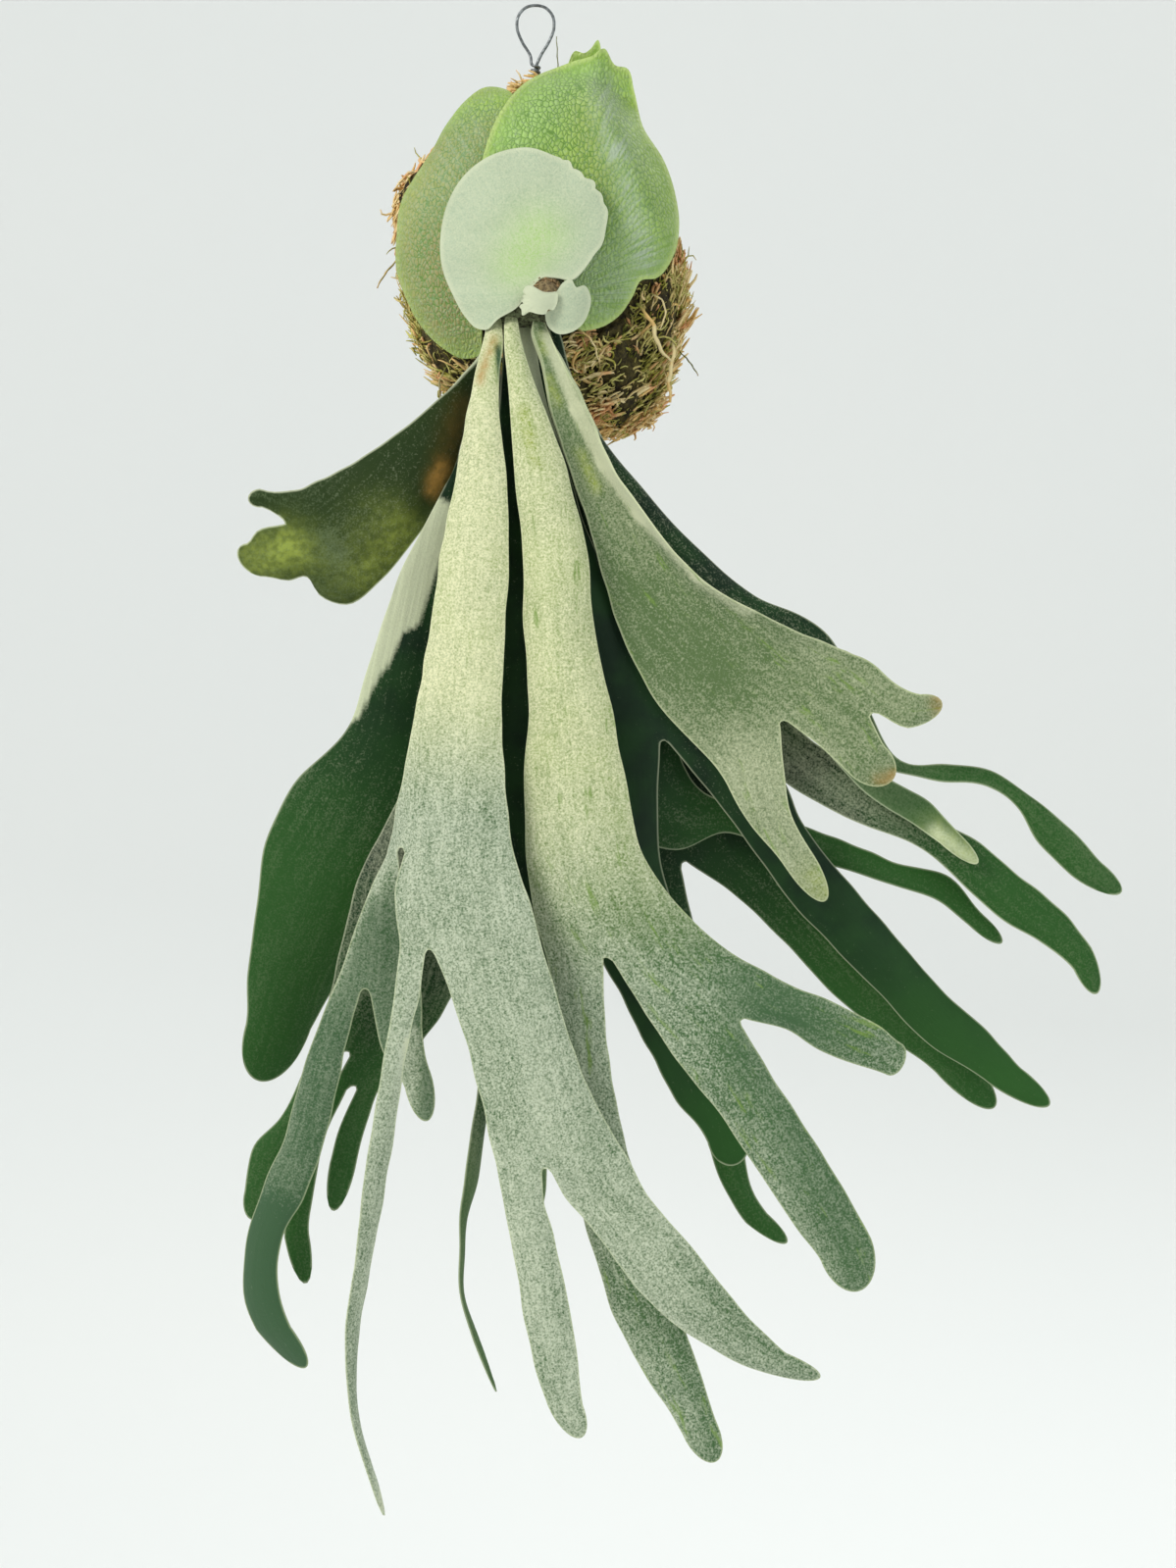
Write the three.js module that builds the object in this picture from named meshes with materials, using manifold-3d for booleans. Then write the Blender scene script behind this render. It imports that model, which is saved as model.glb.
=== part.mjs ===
// A staghorn fern grown on a ball of moss that hangs from a wire eye.
// Millimetres, +Z up, the front of the fern towards -Y. The origin is the inner top of the wire eye,
// where a hook carries the whole plant.

import * as THREE from 'three';
import { mergeVertices } from 'three/addons/utils/BufferGeometryUtils.js';
import Module from 'manifold-3d';

const wasm = await Module();
wasm.setup();

// ---- Driving dimensions --------------------------------------------------------------------------

const SEAT = 0.3;             // clearance between two pieces that touch
const BLADE = 1.2;            // thickness of a frond
const STALK = 3.4;            // what a stalk is thicker than its blade, at its foot
const STALK_FADE = 36;        // how far up the stalk that thickness fades
const NOTCH = 5;              // width of the round notch between two fingers
const FINGER_CELLS = 3;       // cells across a finger
const TIP_ROWS = 2;           // rows that round a finger's tip
const ROW = 30;               // length of a cell along a frond
const ROLL = 0.28;            // share of a blade that its rolled margin takes

const WIRE = 1.6;             // diameter of the hanger's wire
const EYE_WIDTH = 18;         // inside the eye
const EYE_HEIGHT = 31;        // from the inner top of the eye down to the twist
const TWIST_TURNS = 2.5;      // turns of the wire's free end round its stem
const TWIST_PITCH = 2.6;
const TWIST_GAP = 0.35;       // between the wound end and the stem
const EYE_SHAPE = [[0.28, 0.16], [0.72, 0.39], [1, 0.63], [0.93, 0.82], [0.54, 0.96], [0, 1]];
const STEM_END = -196;        // where the stem turns into its foot, inside the moss
const FOOT_LENGTH = 34;

const BALL = { x: 1, z: -134, across: 78, deep: 60, high: 90 };   // the dome that the shields lie on
const LAYER = 3;              // from one shield to the next that lies over it
const SHIELD = 1.3;           // thickness of a shield frond
const SHIELD_RINGS = [0.4, 0.75, 1];   // share of the way from its centre to its margin
const SHIELD_SPOKES = 24;
const RIM = 0.9;              // share of the dome past which the shields stand off it
const RIM_HEIGHT = 0.2;       // least height of the dome under a shield, as a share of its depth
const CREST = { x: 31, z: -50, lean: 0.43, wide: 11, high: 8 };   // the fold down the right shield

// The ball of moss, as level rings: height, left side, right side, half its depth.
const MOSS_RINGS = [
  [-47, -16, 18, 15],
  [-58, -36, 42, 34],
  [-78, -58, 56, 49],
  [-98, -76, 67, 58],
  [-120, -77, 78, 63],
  [-142, -76, 82, 64],
  [-165, -71, 83, 61],
  [-186, -64, 79, 54],
  [-204, -52, 72, 43],
  [-219, -26, 65, 28],
];
const MOSS_POLES = [[1, -41], [22, -228]];    // top and bottom point: x, z
const MOSS_SEGMENTS = 18;
const MOSS_BUMP = 2.2;        // how far its lumps stand out

const RHIZOME = { at: [-3, -60, -165], half: [22, 20, 14], power: 3 };
const GROWING_TIP = { at: [6, -82, -164], radius: 9 };

// ---- Fronds --------------------------------------------------------------------------------------
// A blade is a row of ribs from its foot outwards. A rib is
//   [left x, y, z, right x, y, z, bow, left roll, right roll]
// with its two ends on the margins, left and right as seen from the front when the blade hangs down.
// bow lifts the middle towards the front, a roll lifts that margin. A blade ends in a tip, or in forks,
// which share its last rib from left to right and have a round notch between them.

const frontLeft = {
  ribs: [
    [-21, -71, -173, -17, -71, -173],
    [-24, -80, -184, -16, -81, -184, 1],
    [-31, -89, -214, -18, -91, -214, 3],
    [-40, -100, -264, -13, -103, -264, 5],
    [-47, -107, -304, -12, -110, -304, 5],
    [-52, -111, -339, -14, -116, -339, 5],
    [-59, -114, -378, -15, -121, -383, 5],
    [-65, -114, -412, -13, -124, -416, 6],
    [-75, -108, -446, -9, -125, -447, 7, -8],
  ],
  forks: [
    {
      share: 0.12,
      ribs: [
        [-81, -104, -464, -65, -107, -464, 1],
        [-88, -100, -481, -61, -102, -486, 1],
        [-100, -92, -514, -56, -92, -524, 2],
      ],
      forks: [
        {
          share: 0.34,
          ribs: [
            [-111, -86, -540, -93, -89, -536, 1],
            [-120, -82, -567, -98, -87, -560, 2],
            [-126, -79, -590, -103, -85, -583, 2],
            [-139, -76, -621, -116, -82, -621, 2],
            [-147, -73, -650, -128, -80, -644, 2],
            [-148, -71, -672, -130, -78, -668, 2],
            [-142, -70, -691, -124, -76, -689, 1],
          ],
          tip: [-118, -71, -711],
        },
        {
          share: 0.66,
          ribs: [
            [-76, -90, -547, -55, -90, -547, 1],
            [-65, -88, -566, -51, -88, -562, 1],
          ],
          tip: [-54, -86, -583],
        },
      ],
    },
    {
      share: 0.88,
      ribs: [
        [-68, -120, -464, -2, -127, -468, 5],
        [-67, -124, -488, 4, -128, -493, 5],
      ],
      forks: [
        {
          share: 0.19,
          ribs: [
            [-68, -126, -512, -56, -127, -514, 1],
            [-72, -128, -539, -61, -126, -539, 1],
            [-77, -129, -568, -66, -124, -568, 1],
            [-83, -128, -607, -72, -120, -605, 1],
            [-88, -124, -651, -81, -114, -653, 1],
            [-93, -119, -686, -87, -108, -687, 1],
            [-92, -112, -721, -89, -101, -724, 1],
            [-84, -105, -757, -81, -96, -759, 1],
          ],
          tip: [-75, -98, -781],
        },
        {
          share: 0.81,
          ribs: [
            [-42, -128, -512, 10, -128, -510, 5],
            [-28, -127, -558, 26, -126, -558, 5],
            [-18, -126, -600, 46, -125, -597, 4],
          ],
          forks: [
            {
              share: 0.35,
              ribs: [
                [-15, -125, -617, 5, -125, -615, 2],
                [-10, -124, -641, 11, -124, -639, 2],
                [-5, -122, -671, 18, -122, -670, 2],
                [1, -119, -701, 23, -119, -701, 2],
                [8, -117, -722, 25, -117, -722, 1],
              ],
              tip: [23, -115, -739],
            },
            {
              share: 0.65,
              ribs: [
                [15, -124, -614, 55, -124, -613, 3],
                [29, -123, -632, 66, -124, -627, 3],
                [45, -121, -654, 82, -123, -646, 3],
                [59, -119, -671, 97, -122, -665, 3],
                [80, -117, -688, 112, -120, -682, 2],
                [105, -114, -702, 127, -117, -696, 1],
              ],
              tip: [142, -113, -710],
            },
          ],
        },
      ],
    },
  ],
};

const frontRight = {
  ribs: [
    [-14, -73, -172, -9, -73, -172],
    [-14, -82, -182, -8, -82, -182, 1],
    [-12, -91, -214, 2, -91, -214, 3],
    [-9, -99, -254, 17, -98, -254, 5],
    [-5, -104, -294, 27, -103, -294, 6],
    [-4, -107, -333, 31, -107, -333, 6],
    [-2, -109, -373, 39, -109, -373, 6],
    [-4, -110, -412, 47, -111, -412, 6],
    [-3, -109, -447, 55, -113, -447, 7],
    [2, -106, -481, 78, -116, -478, 8],
    [8, -103, -503, 97, -119, -495, 8],
  ],
  forks: [
    {
      share: 0.34,
      ribs: [
        [12, -102, -526, 36, -104, -526, 2],
        [15, -101, -555, 39, -103, -555, 2],
        [19, -100, -590, 46, -102, -590, 3],
        [24, -99, -625, 55, -101, -622, 3],
        [32, -98, -652, 64, -100, -652, 3],
        [43, -96, -685, 75, -98, -682, 3],
        [58, -94, -712, 84, -96, -708, 2],
        [76, -92, -741, 93, -94, -735, 1],
      ],
      tip: [92, -92, -755],
    },
    {
      share: 0.66,
      ribs: [
        [57, -115, -527, 115, -122, -505, 5],
        [74, -118, -552, 133, -125, -514, 4],
      ],
      forks: [
        {
          share: 0.56,
          ribs: [
            [90, -119, -572, 118, -122, -555, 3],
            [102, -119, -589, 130, -122, -574, 3],
            [117, -118, -611, 144, -121, -596, 3],
            [132, -117, -634, 158, -120, -619, 2],
            [144, -115, -650, 169, -118, -639, 1],
          ],
          tip: [164, -115, -665],
        },
        {
          share: 0.44,
          ribs: [
            [126, -124, -534, 144, -127, -518, 2],
            [142, -124, -544, 159, -128, -525, 2],
            [163, -124, -552, 174, -128, -533, 1],
            [177, -123, -557, 183, -127, -541, 0],
          ],
          tip: [185, -125, -551],
        },
      ],
    },
  ],
};

const right = {
  ribs: [
    [0, -71, -173, 4, -71, -173],
    [-1, -78, -181, 7, -76, -181, 0],
    [5, -84, -201, 16, -82, -199, -1, 0, 1],
    [9, -88, -223, 27, -88, -221, -3, 0, 3],
    [18, -90, -251, 42, -93, -255, -5, 0, 4],
    [27, -91, -278, 60, -97, -280, -6, 0, 4],
    [36, -91, -309, 87, -99, -310, -6, 0, 2],
    [46, -90, -340, 127, -98, -332, -6],
    [65, -89, -374, 156, -96, -344, -5],
    [96, -88, -408, 168, -96, -349, -4],
  ],
  forks: [
    {
      share: 0.43,
      ribs: [
        [106, -88, -427, 127, -90, -405, -1],
        [118, -86, -442, 130, -88, -425, -1],
        [130, -84, -457, 141, -86, -446, 0],
      ],
      tip: [149, -82, -471],
    },
    {
      share: 0.57,
      ribs: [
        [152, -94, -399, 187, -99, -364, -2],
      ],
      forks: [
        {
          share: 0.6,
          ribs: [
            [161, -93, -408, 178, -95, -393, 1],
          ],
          tip: [181, -92, -411],
        },
        {
          share: 0.4,
          ribs: [
            [189, -98, -384, 195, -100, -367, 1],
          ],
          tip: [206, -97, -374],
        },
      ],
    },
  ],
};

const upperLeft = {
  ribs: [
    [-23, -60, -175, -22, -58, -178],
    [-25, -66, -188, -23, -62, -192, 0],
    [-36, -73, -203, -31, -64, -212, 1],
    [-52, -80, -219, -37, -68, -235, 3],
    [-72, -85, -236, -45, -70, -263, 5],
    [-91, -87, -252, -60, -70, -286, 6],
    [-107, -86, -260, -78, -67, -307, 5],
    [-118, -85, -263, -95, -65, -319, 4],
    [-127, -83, -268, -112, -68, -309, 3],
  ],
  forks: [
    {
      share: 0.3,
      ribs: [
        [-134, -82, -264, -132, -80, -273, 1],
      ],
      tip: [-144, -80, -268],
    },
    {
      share: 0.7,
      ribs: [
        [-135, -79, -284, -122, -71, -301, 2],
        [-142, -77, -290, -131, -72, -305, 1],
      ],
      tip: [-150, -73, -299],
    },
  ],
};

const left = {
  ribs: [
    [-21, -52, -176, -18, -52, -176],
    [-24, -60, -196, -18, -57, -196, 1],
    [-32, -65, -227, -18, -58, -226, 2, 1],
    [-48, -74, -265, -20, -59, -261, 3, 3],
    [-69, -78, -307, -22, -57, -311, 4, 6],
    [-82, -78, -346, -27, -54, -357, 5, 8],
    [-97, -75, -386, -32, -50, -405, 6, 5],
    [-121, -70, -410, -42, -46, -443, 6],
    [-138, -64, -442, -64, -42, -476, 6],
    [-143, -57, -478, -85, -38, -496, 5],
    [-148, -50, -509, -103, -34, -516, 4],
    [-150, -43, -537, -117, -30, -540, 3],
  ],
  tip: [-142, -34, -567],
};

const leftRear = {
  ribs: [
    [-20, -61, -175, -17, -61, -175],
    [-24, -72, -212, -18, -72, -212, 1],
    [-29, -80, -248, -18, -79, -247, 2],
    [-38, -86, -298, -19, -84, -298, 3],
    [-47, -88, -343, -19, -86, -343, 4],
    [-56, -89, -387, -20, -86, -387, 4],
    [-71, -88, -425, -22, -84, -428, 5],
    [-87, -85, -455, -25, -81, -462, 5],
    [-97, -80, -490, -33, -77, -496, 4],
    [-104, -74, -520, -43, -73, -523, 4],
    [-114, -68, -549, -65, -69, -553, 3],
  ],
  forks: [
    {
      share: 0.34,
      ribs: [
        [-130, -62, -583, -112, -64, -576, 2],
        [-145, -58, -600, -123, -60, -604, 2],
        [-149, -55, -622, -134, -57, -624, 1],
      ],
      tip: [-145, -54, -637],
    },
    {
      share: 0.66,
      ribs: [
        [-104, -64, -569, -79, -66, -568, 2],
      ],
      forks: [
        {
          share: 0.42,
          ribs: [
            [-116, -60, -599, -108, -61, -595, 1],
            [-124, -57, -622, -113, -58, -619, 1],
            [-129, -54, -646, -116, -55, -644, 1],
          ],
          tip: [-118, -52, -670],
        },
        {
          share: 0.58,
          ribs: [
            [-100, -62, -589, -85, -63, -584, 1],
            [-105, -59, -607, -91, -60, -605, 1],
          ],
          tip: [-103, -56, -632],
        },
      ],
    },
  ],
};

const centreThin = {
  ribs: [
    [-15, -57, -176, -12, -57, -176],
    [-18, -66, -226, -8, -66, -226, 1],
    [-21, -72, -282, 0, -72, -282, 2],
    [-23, -77, -342, 5, -75, -342, 3],
    [-27, -78, -402, 9, -75, -402, 4],
    [-29, -76, -452, 12, -73, -452, 4],
    [-29, -73, -495, 11, -70, -495, 4],
    [-28, -70, -528, 11, -67, -528, 3],
  ],
  forks: [
    {
      share: 0.38,
      ribs: [
        [-28, -70, -553, -19, -64, -553, 1],
        [-30, -70, -578, -24, -61, -581, 1],
        [-35, -70, -610, -29, -59, -614, 1],
        [-38, -68, -646, -36, -57, -649, 1],
        [-38, -65, -673, -37, -54, -674, 1],
        [-31, -62, -698, -29, -52, -699, 1],
      ],
      tip: [-19, -52, -726],
    },
    {
      share: 0.62,
      ribs: [
        [-10, -66, -558, 9, -64, -558, 2],
        [-6, -63, -589, 8, -61, -589, 2],
        [-3, -60, -617, 6, -59, -616, 1],
      ],
      tip: [1, -57, -635],
    },
  ],
};

const centreRear = {
  ribs: [
    [-7, -64, -174, -3, -64, -174],
    [-6, -72, -187, 0, -72, -187, 1],
    [-3, -79, -213, 5, -78, -213, 2],
    [1, -84, -248, 16, -82, -248, 3],
    [4, -86, -288, 29, -82, -287, 4],
    [8, -86, -328, 48, -80, -321, 5],
    [11, -85, -367, 73, -78, -348, 5],
    [16, -83, -412, 110, -75, -375, 5],
  ],
  forks: [
    {
      share: 0.535,
      ribs: [
        [19, -81, -447, 64, -78, -443, 4],
        [27, -79, -485, 73, -76, -482, 4],
        [43, -77, -517, 86, -74, -512, 3],
        [58, -75, -546, 97, -72, -539, 3],
        [73, -73, -574, 107, -70, -569, 2],
        [89, -71, -595, 110, -69, -589, 1],
      ],
      tip: [103, -69, -607],
    },
    {
      share: 0.465,
      ribs: [
        [84, -75, -409, 122, -73, -396, 4],
        [106, -71, -437, 137, -69, -431, 4],
        [129, -67, -469, 161, -65, -462, 4],
        [154, -63, -496, 188, -61, -493, 4],
        [177, -59, -519, 212, -58, -520, 3],
        [203, -56, -546, 236, -55, -542, 3],
        [232, -53, -564, 252, -52, -559, 2],
      ],
      tip: [265, -50, -579],
    },
  ],
};

const rightRear = {
  ribs: [
    [2, -56, -174, 6, -56, -174],
    [7, -66, -197, 12, -65, -196, 1],
    [17, -72, -227, 27, -71, -222, 2],
    [34, -73, -268, 49, -72, -258, 3],
    [59, -71, -318, 81, -70, -303, 3],
    [89, -68, -362, 112, -67, -342, 2],
    [116, -65, -400, 132, -64, -380, 2],
    [146, -63, -422, 158, -62, -401, 2],
    [172, -62, -434, 180, -61, -418, 3],
    [194, -60, -442, 204, -59, -430, 3],
    [214, -59, -457, 224, -58, -439, 3],
    [236, -55, -478, 250, -54, -459, 3],
    [260, -51, -493, 274, -50, -479, 2],
    [279, -48, -508, 288, -47, -497, 1],
  ],
  tip: [292, -45, -520],
};

const rightMiddle = {
  ribs: [
    [7, -62, -173, 11, -62, -173],
    [10, -70, -195, 16, -68, -194, 1],
    [18, -77, -223, 27, -74, -224, 2],
    [29, -81, -248, 44, -77, -248, 3],
    [49, -83, -285, 77, -78, -285, 4],
    [78, -83, -323, 112, -77, -316, 5],
    [110, -81, -357, 145, -76, -331, 5],
    [141, -79, -386, 164, -75, -358, 4],
    [171, -76, -418, 190, -73, -401, 2],
  ],
  forks: [
    {
      share: 0.64,
      ribs: [
        [188, -74, -429, 202, -72, -421, 1],
        [208, -71, -442, 218, -70, -438, 1],
      ],
      tip: [227, -68, -453],
    },
    {
      share: 0.36,
      ribs: [
        [210, -70, -411, 211, -68, -402, 1],
        [232, -67, -413, 234, -65, -405, 1],
        [248, -63, -424, 257, -61, -420, 2],
        [260, -59, -443, 276, -58, -435, 2],
        [277, -56, -459, 293, -55, -453, 2],
      ],
      tip: [302, -53, -469],
    },
  ],
};

const lowerRight = {
  ribs: [
    [-3, -52, -175, 0, -52, -175],
    [8, -64, -231, 17, -62, -230, 1],
    [18, -68, -284, 37, -65, -279, 2],
    [31, -68, -337, 56, -65, -328, 3],
    [42, -66, -385, 73, -63, -368, 3],
    [48, -64, -437, 78, -61, -405, 3],
    [73, -61, -446, 86, -59, -415, 2],
    [98, -58, -437, 102, -57, -423, 1],
    [125, -54, -447, 128, -53, -430, 1],
    [155, -50, -455, 156, -49, -440, 1],
    [188, -45, -465, 191, -44, -454, 1],
    [210, -41, -473, 214, -40, -459, 1],
    [227, -37, -487, 234, -36, -481, 1],
  ],
  tip: [243, -34, -495],
};

const rearFan = {
  ribs: [
    [-12, -49, -176, -8, -49, -176],
    [0, -58, -236, 9, -57, -233, 1],
    [13, -60, -291, 31, -58, -285, 2],
    [24, -59, -352, 58, -55, -336, 3],
    [36, -55, -407, 94, -50, -379, 4],
    [51, -49, -467, 119, -44, -435, 4],
  ],
  forks: [
    {
      share: 0.385,
      ribs: [
        [56, -47, -493, 84, -45, -491, 3],
        [65, -44, -534, 97, -42, -532, 3],
        [79, -41, -570, 106, -39, -570, 3],
        [90, -38, -598, 109, -36, -600, 2],
        [99, -35, -623, 112, -34, -621, 2],
        [110, -32, -641, 121, -32, -636, 1],
      ],
      tip: [131, -31, -652],
    },
    {
      share: 0.615,
      ribs: [
        [102, -42, -468, 135, -39, -456, 3],
        [130, -38, -494, 159, -36, -483, 3],
        [157, -34, -523, 184, -32, -513, 3],
        [184, -30, -544, 206, -29, -534, 2],
        [210, -27, -563, 229, -26, -555, 2],
      ],
      tip: [240, -23, -582],
    },
  ],
};

// ---- Shields -------------------------------------------------------------------------------------
// A shield is an outline of points [x, z] round a centre, laid over the dome of the ball. under is the
// number of shields that it lies over, and forward(x, z) is what it stands off the dome there.

const rise = (from, to, value) => THREE.MathUtils.smoothstep(value, from, to);
const fall = (from, to, value) => 1 - rise(from, to, value);

const topShield = {
  under: 0,
  centre: [27, -56],
  outline: [[17, -40], [18, -31], [21, -26], [26, -27], [29, -25], [33, -20], [35, -27], [41, -42],
    [44, -60], [38, -78], [24, -86], [12, -74], [12, -54]],
  forward: () => 0,
};

const leftShield = {
  under: 1,
  centre: [-42, -125],
  outline: [[-36, -54], [-26, -47], [-13, -51], [-8, -70], [-12, -110], [-22, -138], [-31, -158],
    [-27, -181], [-29, -190], [-37, -191], [-48, -185], [-60, -172], [-68, -156], [-72, -143],
    [-72, -126], [-69, -106], [-63, -96], [-54, -83], [-46, -67]],
  forward: (x, z) => 4 * rise(-64, -50, z),
};

const rightShield = {
  under: 2,
  centre: [26, -104],
  outline: [[-24, -80], [-16, -61], [-6, -47], [5, -39], [20, -33], [30, -31], [36, -27], [42, -35],
    [48, -36], [52, -48], [57, -70], [67, -86], [73, -104], [75, -121], [72, -138], [63, -150],
    [55, -152], [51, -160], [44, -170], [33, -177], [21, -178], [19, -164], [12, -149], [-6, -146],
    [-24, -128], [-28, -105]],
  forward: (x, z) => {
    const fromCrest = x - CREST.x - CREST.lean * Math.max(CREST.z - z, 0);
    return CREST.high * Math.exp(-((fromCrest / CREST.wide) ** 2)) * rise(-158, -128, z);
  },
};

const frontShield = {
  under: 3,
  centre: [-5, -124],
  outline: [[-22, -178], [-28, -181], [-34, -175], [-41, -163], [-47, -147], [-48, -130],
    [-45, -115], [-35, -98], [-20, -88], [-3, -85], [12, -90], [18, -92], [24, -98], [31, -103],
    [35, -110], [38, -119], [37, -127], [35, -136], [31, -142], [26, -150], [20, -156], [11, -155],
    [5, -155], [-1, -161], [-8, -170]],
  forward: (x, z) => 21 * fall(-168, -128, z) + 3 * rise(8, 34, x),
};

const youngShield = {
  under: 3,
  centre: [18, -170],
  outline: [[6, -173], [8, -166], [12, -162], [15, -158], [19, -156], [22, -160], [26, -159],
    [29, -164], [28, -172], [25, -178], [20, -182], [12, -183], [8, -180]],
  forward: (x) => 20 + 2 * Math.cos((x - 18) / 6),
};

const budFrond = {
  under: 3,
  centre: [2, -168],
  outline: [[-8, -164], [-5, -167], [-8, -169], [-6, -171], [-8, -175], [-4, -174], [3, -175],
    [8, -172], [12, -170], [13, -165], [8, -162], [2, -162], [-3, -162]],
  forward: (x) => 25 + 1.5 * Math.cos((x - 2) / 4),
};

// Depth of the dome that the shield over `under` others follows, at x and z.
function domeDepth(x, z, under) {
  const grown = LAYER * under;
  const off = Math.hypot((x - BALL.x) / (BALL.across + grown), (z - BALL.z) / (BALL.high + grown));
  const edge = Math.sqrt(1 - RIM ** 2);
  const height = off < RIM ? Math.sqrt(1 - off ** 2) : edge - (RIM / edge) * (off - RIM);
  return -BALL.deep * Math.max(height, RIM_HEIGHT) - grown;
}

// ---- Curves and sheets ---------------------------------------------------------------------------

// Direction of a smooth curve at b, between its neighbours a and c. Either may be missing at an end.
function heading(a, b, c) {
  if (!a) return c.clone().sub(b).normalize();
  if (!c) return b.clone().sub(a).normalize();
  const before = b.clone().sub(a);
  const after = c.clone().sub(b);
  const [p, q] = [before.length(), after.length()];
  return before.multiplyScalar(q / p).add(after.multiplyScalar(p / q)).divideScalar(p + q);
}

// Point at share t of the way from points[i] to points[i + 1], on a smooth curve through all of them.
function onCurve(points, i, t) {
  const [start, end] = [points[i], points[i + 1]];
  const length = start.distanceTo(end);
  const leave = heading(points[i - 1], start, end).multiplyScalar(length * t * (1 - t) ** 2);
  const arrive = heading(start, end, points[i + 2]).multiplyScalar(length * t ** 2 * (t - 1));
  const blend = t ** 2 * (3 - 2 * t);
  return start.clone().lerp(end, blend).add(leave).add(arrive);
}

// A sheet is a surface without thickness: its points, the distance of each from the sheet's foot,
// and its faces, which turn anticlockwise as seen from the front.
const newSheet = () => ({ points: [], reach: [], faces: [] });

function addPoint(sheet, point, reach) {
  sheet.points.push(point);
  sheet.reach.push(reach);
  return sheet.points.length - 1;
}

// Front-facing direction at every point of a sheet.
function sheetNormals({ points, faces }) {
  const normals = points.map(() => new THREE.Vector3());
  for (const face of faces) {
    const [a, b, c] = [points[face[0]], points[face[1]], points[face[2]]];
    const d = points[face[3] ?? face[0]];
    const area = c.clone().sub(a).cross(d.clone().sub(b));
    if (face.length === 3) area.copy(b).sub(a).cross(c.clone().sub(a));
    face.forEach((corner) => normals[corner].add(area));
  }
  return normals.map((normal) => normal.normalize());
}

// Edges that only one face has, as pairs in that face's order.
function openEdges(faces) {
  const edges = new Map();
  for (const face of faces) {
    face.forEach((from, i) => edges.set(`${from} ${face[(i + 1) % face.length]}`, face));
  }
  const pairs = [...edges.keys()].map((key) => key.split(' ').map(Number));
  return pairs.filter(([from, to]) => !edges.has(`${to} ${from}`));
}

// A closed solid round a sheet: front(i) and back(i) are how far its faces lie from point i, grow moves
// its margin outwards, and forward moves the whole front face towards -Y.
function thicken(sheet, { front, back, grow = 0, forward = 0 }) {
  const normals = sheetNormals(sheet);
  const edges = openEdges(sheet.faces);
  const middle = sheet.points.map((point) => point.clone());
  for (const pair of edges) {
    const along = sheet.points[pair[1]].clone().sub(sheet.points[pair[0]]).normalize();
    for (const corner of pair) {
      middle[corner].addScaledVector(along.clone().cross(normals[corner]), grow / 2);
    }
  }
  const count = middle.length;
  const faceOf = (side, move) => middle.map((point, i) => point.clone()
    .addScaledVector(normals[i], side * (side > 0 ? front(i) : back(i)))
    .add(new THREE.Vector3(0, move, 0)));
  const vertices = [...faceOf(1, -forward), ...faceOf(-1, 0)];
  const triangles = [];
  for (const face of sheet.faces) {
    let order = face;
    if (face.length === 4) {
      const [a, b, c, d] = face.map((corner) => sheet.points[corner]);
      if (b.distanceTo(d) < a.distanceTo(c)) order = [face[1], face[2], face[3], face[0]];
    }
    for (let i = 2; i < order.length; i += 1) {
      const [a, b, c] = [order[0], order[i - 1], order[i]];
      triangles.push(a, b, c, count + c, count + b, count + a);
    }
  }
  for (const [from, to] of edges) {
    triangles.push(to, from, count + from, to, count + from, count + to);
  }
  return bodyOf(vertices, triangles);
}

// ---- Solids --------------------------------------------------------------------------------------

function bodyOf(vertices, triangles) {
  return new wasm.Manifold(new wasm.Mesh({
    numProp: 3,
    vertProperties: Float32Array.from(vertices.flatMap((vertex) => vertex.toArray())),
    triVerts: Uint32Array.from(triangles),
  }));
}

function bodyOfGeometry(geometry) {
  geometry.deleteAttribute('normal');
  geometry.deleteAttribute('uv');
  const merged = mergeVertices(geometry, 1e-4);
  const position = merged.getAttribute('position');
  const vertices = Array.from({ length: position.count }, (_, i) => new THREE.Vector3()
    .fromBufferAttribute(position, i));
  return bodyOf(vertices, Array.from(merged.getIndex().array));
}

// The largest connected piece that is left of a body once the cutters are taken from it.
function cutBy(body, cutters) {
  const left = cutters.reduce((rest, cutter) => rest.subtract(cutter), body).decompose();
  return left.reduce((best, piece) => (piece.volume() > best.volume() ? piece : best));
}

function geometryOf(body) {
  const { vertProperties, triVerts } = body.getMesh();
  const geometry = new THREE.BufferGeometry();
  geometry.setAttribute('position', new THREE.BufferAttribute(vertProperties, 3));
  geometry.setIndex(new THREE.BufferAttribute(triVerts, 1));
  return geometry;
}

// ---- Building a frond ----------------------------------------------------------------------------

const asRib = ([lx, ly, lz, rx, ry, rz, bow = 0, rollLeft = 0, rollRight = 0]) => ({
  left: new THREE.Vector3(lx, ly, lz),
  right: new THREE.Vector3(rx, ry, rz),
  lift: [bow, rollLeft, rollRight],
});

const ribMiddle = (rib) => rib.left.clone().lerp(rib.right, 0.5);

// Where the lengthwise lines of a blade cross a rib, as shares of its width. A blade with forks gives
// each fork its share, with one notch cell between two of them.
function crossings(blade) {
  if (!blade.forks) {
    return Array.from({ length: FINGER_CELLS + 1 }, (_, i) => i / FINGER_CELLS);
  }
  const last = asRib(blade.ribs.at(-1));
  const gap = NOTCH / last.left.distanceTo(last.right);
  const free = 1 - gap * (blade.forks.length - 1);
  const marks = [];
  let start = 0;
  for (const fork of blade.forks) {
    marks.push(...crossings(fork).map((mark) => start + mark * fork.share * free));
    start += fork.share * free + gap;
  }
  return marks;
}

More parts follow.
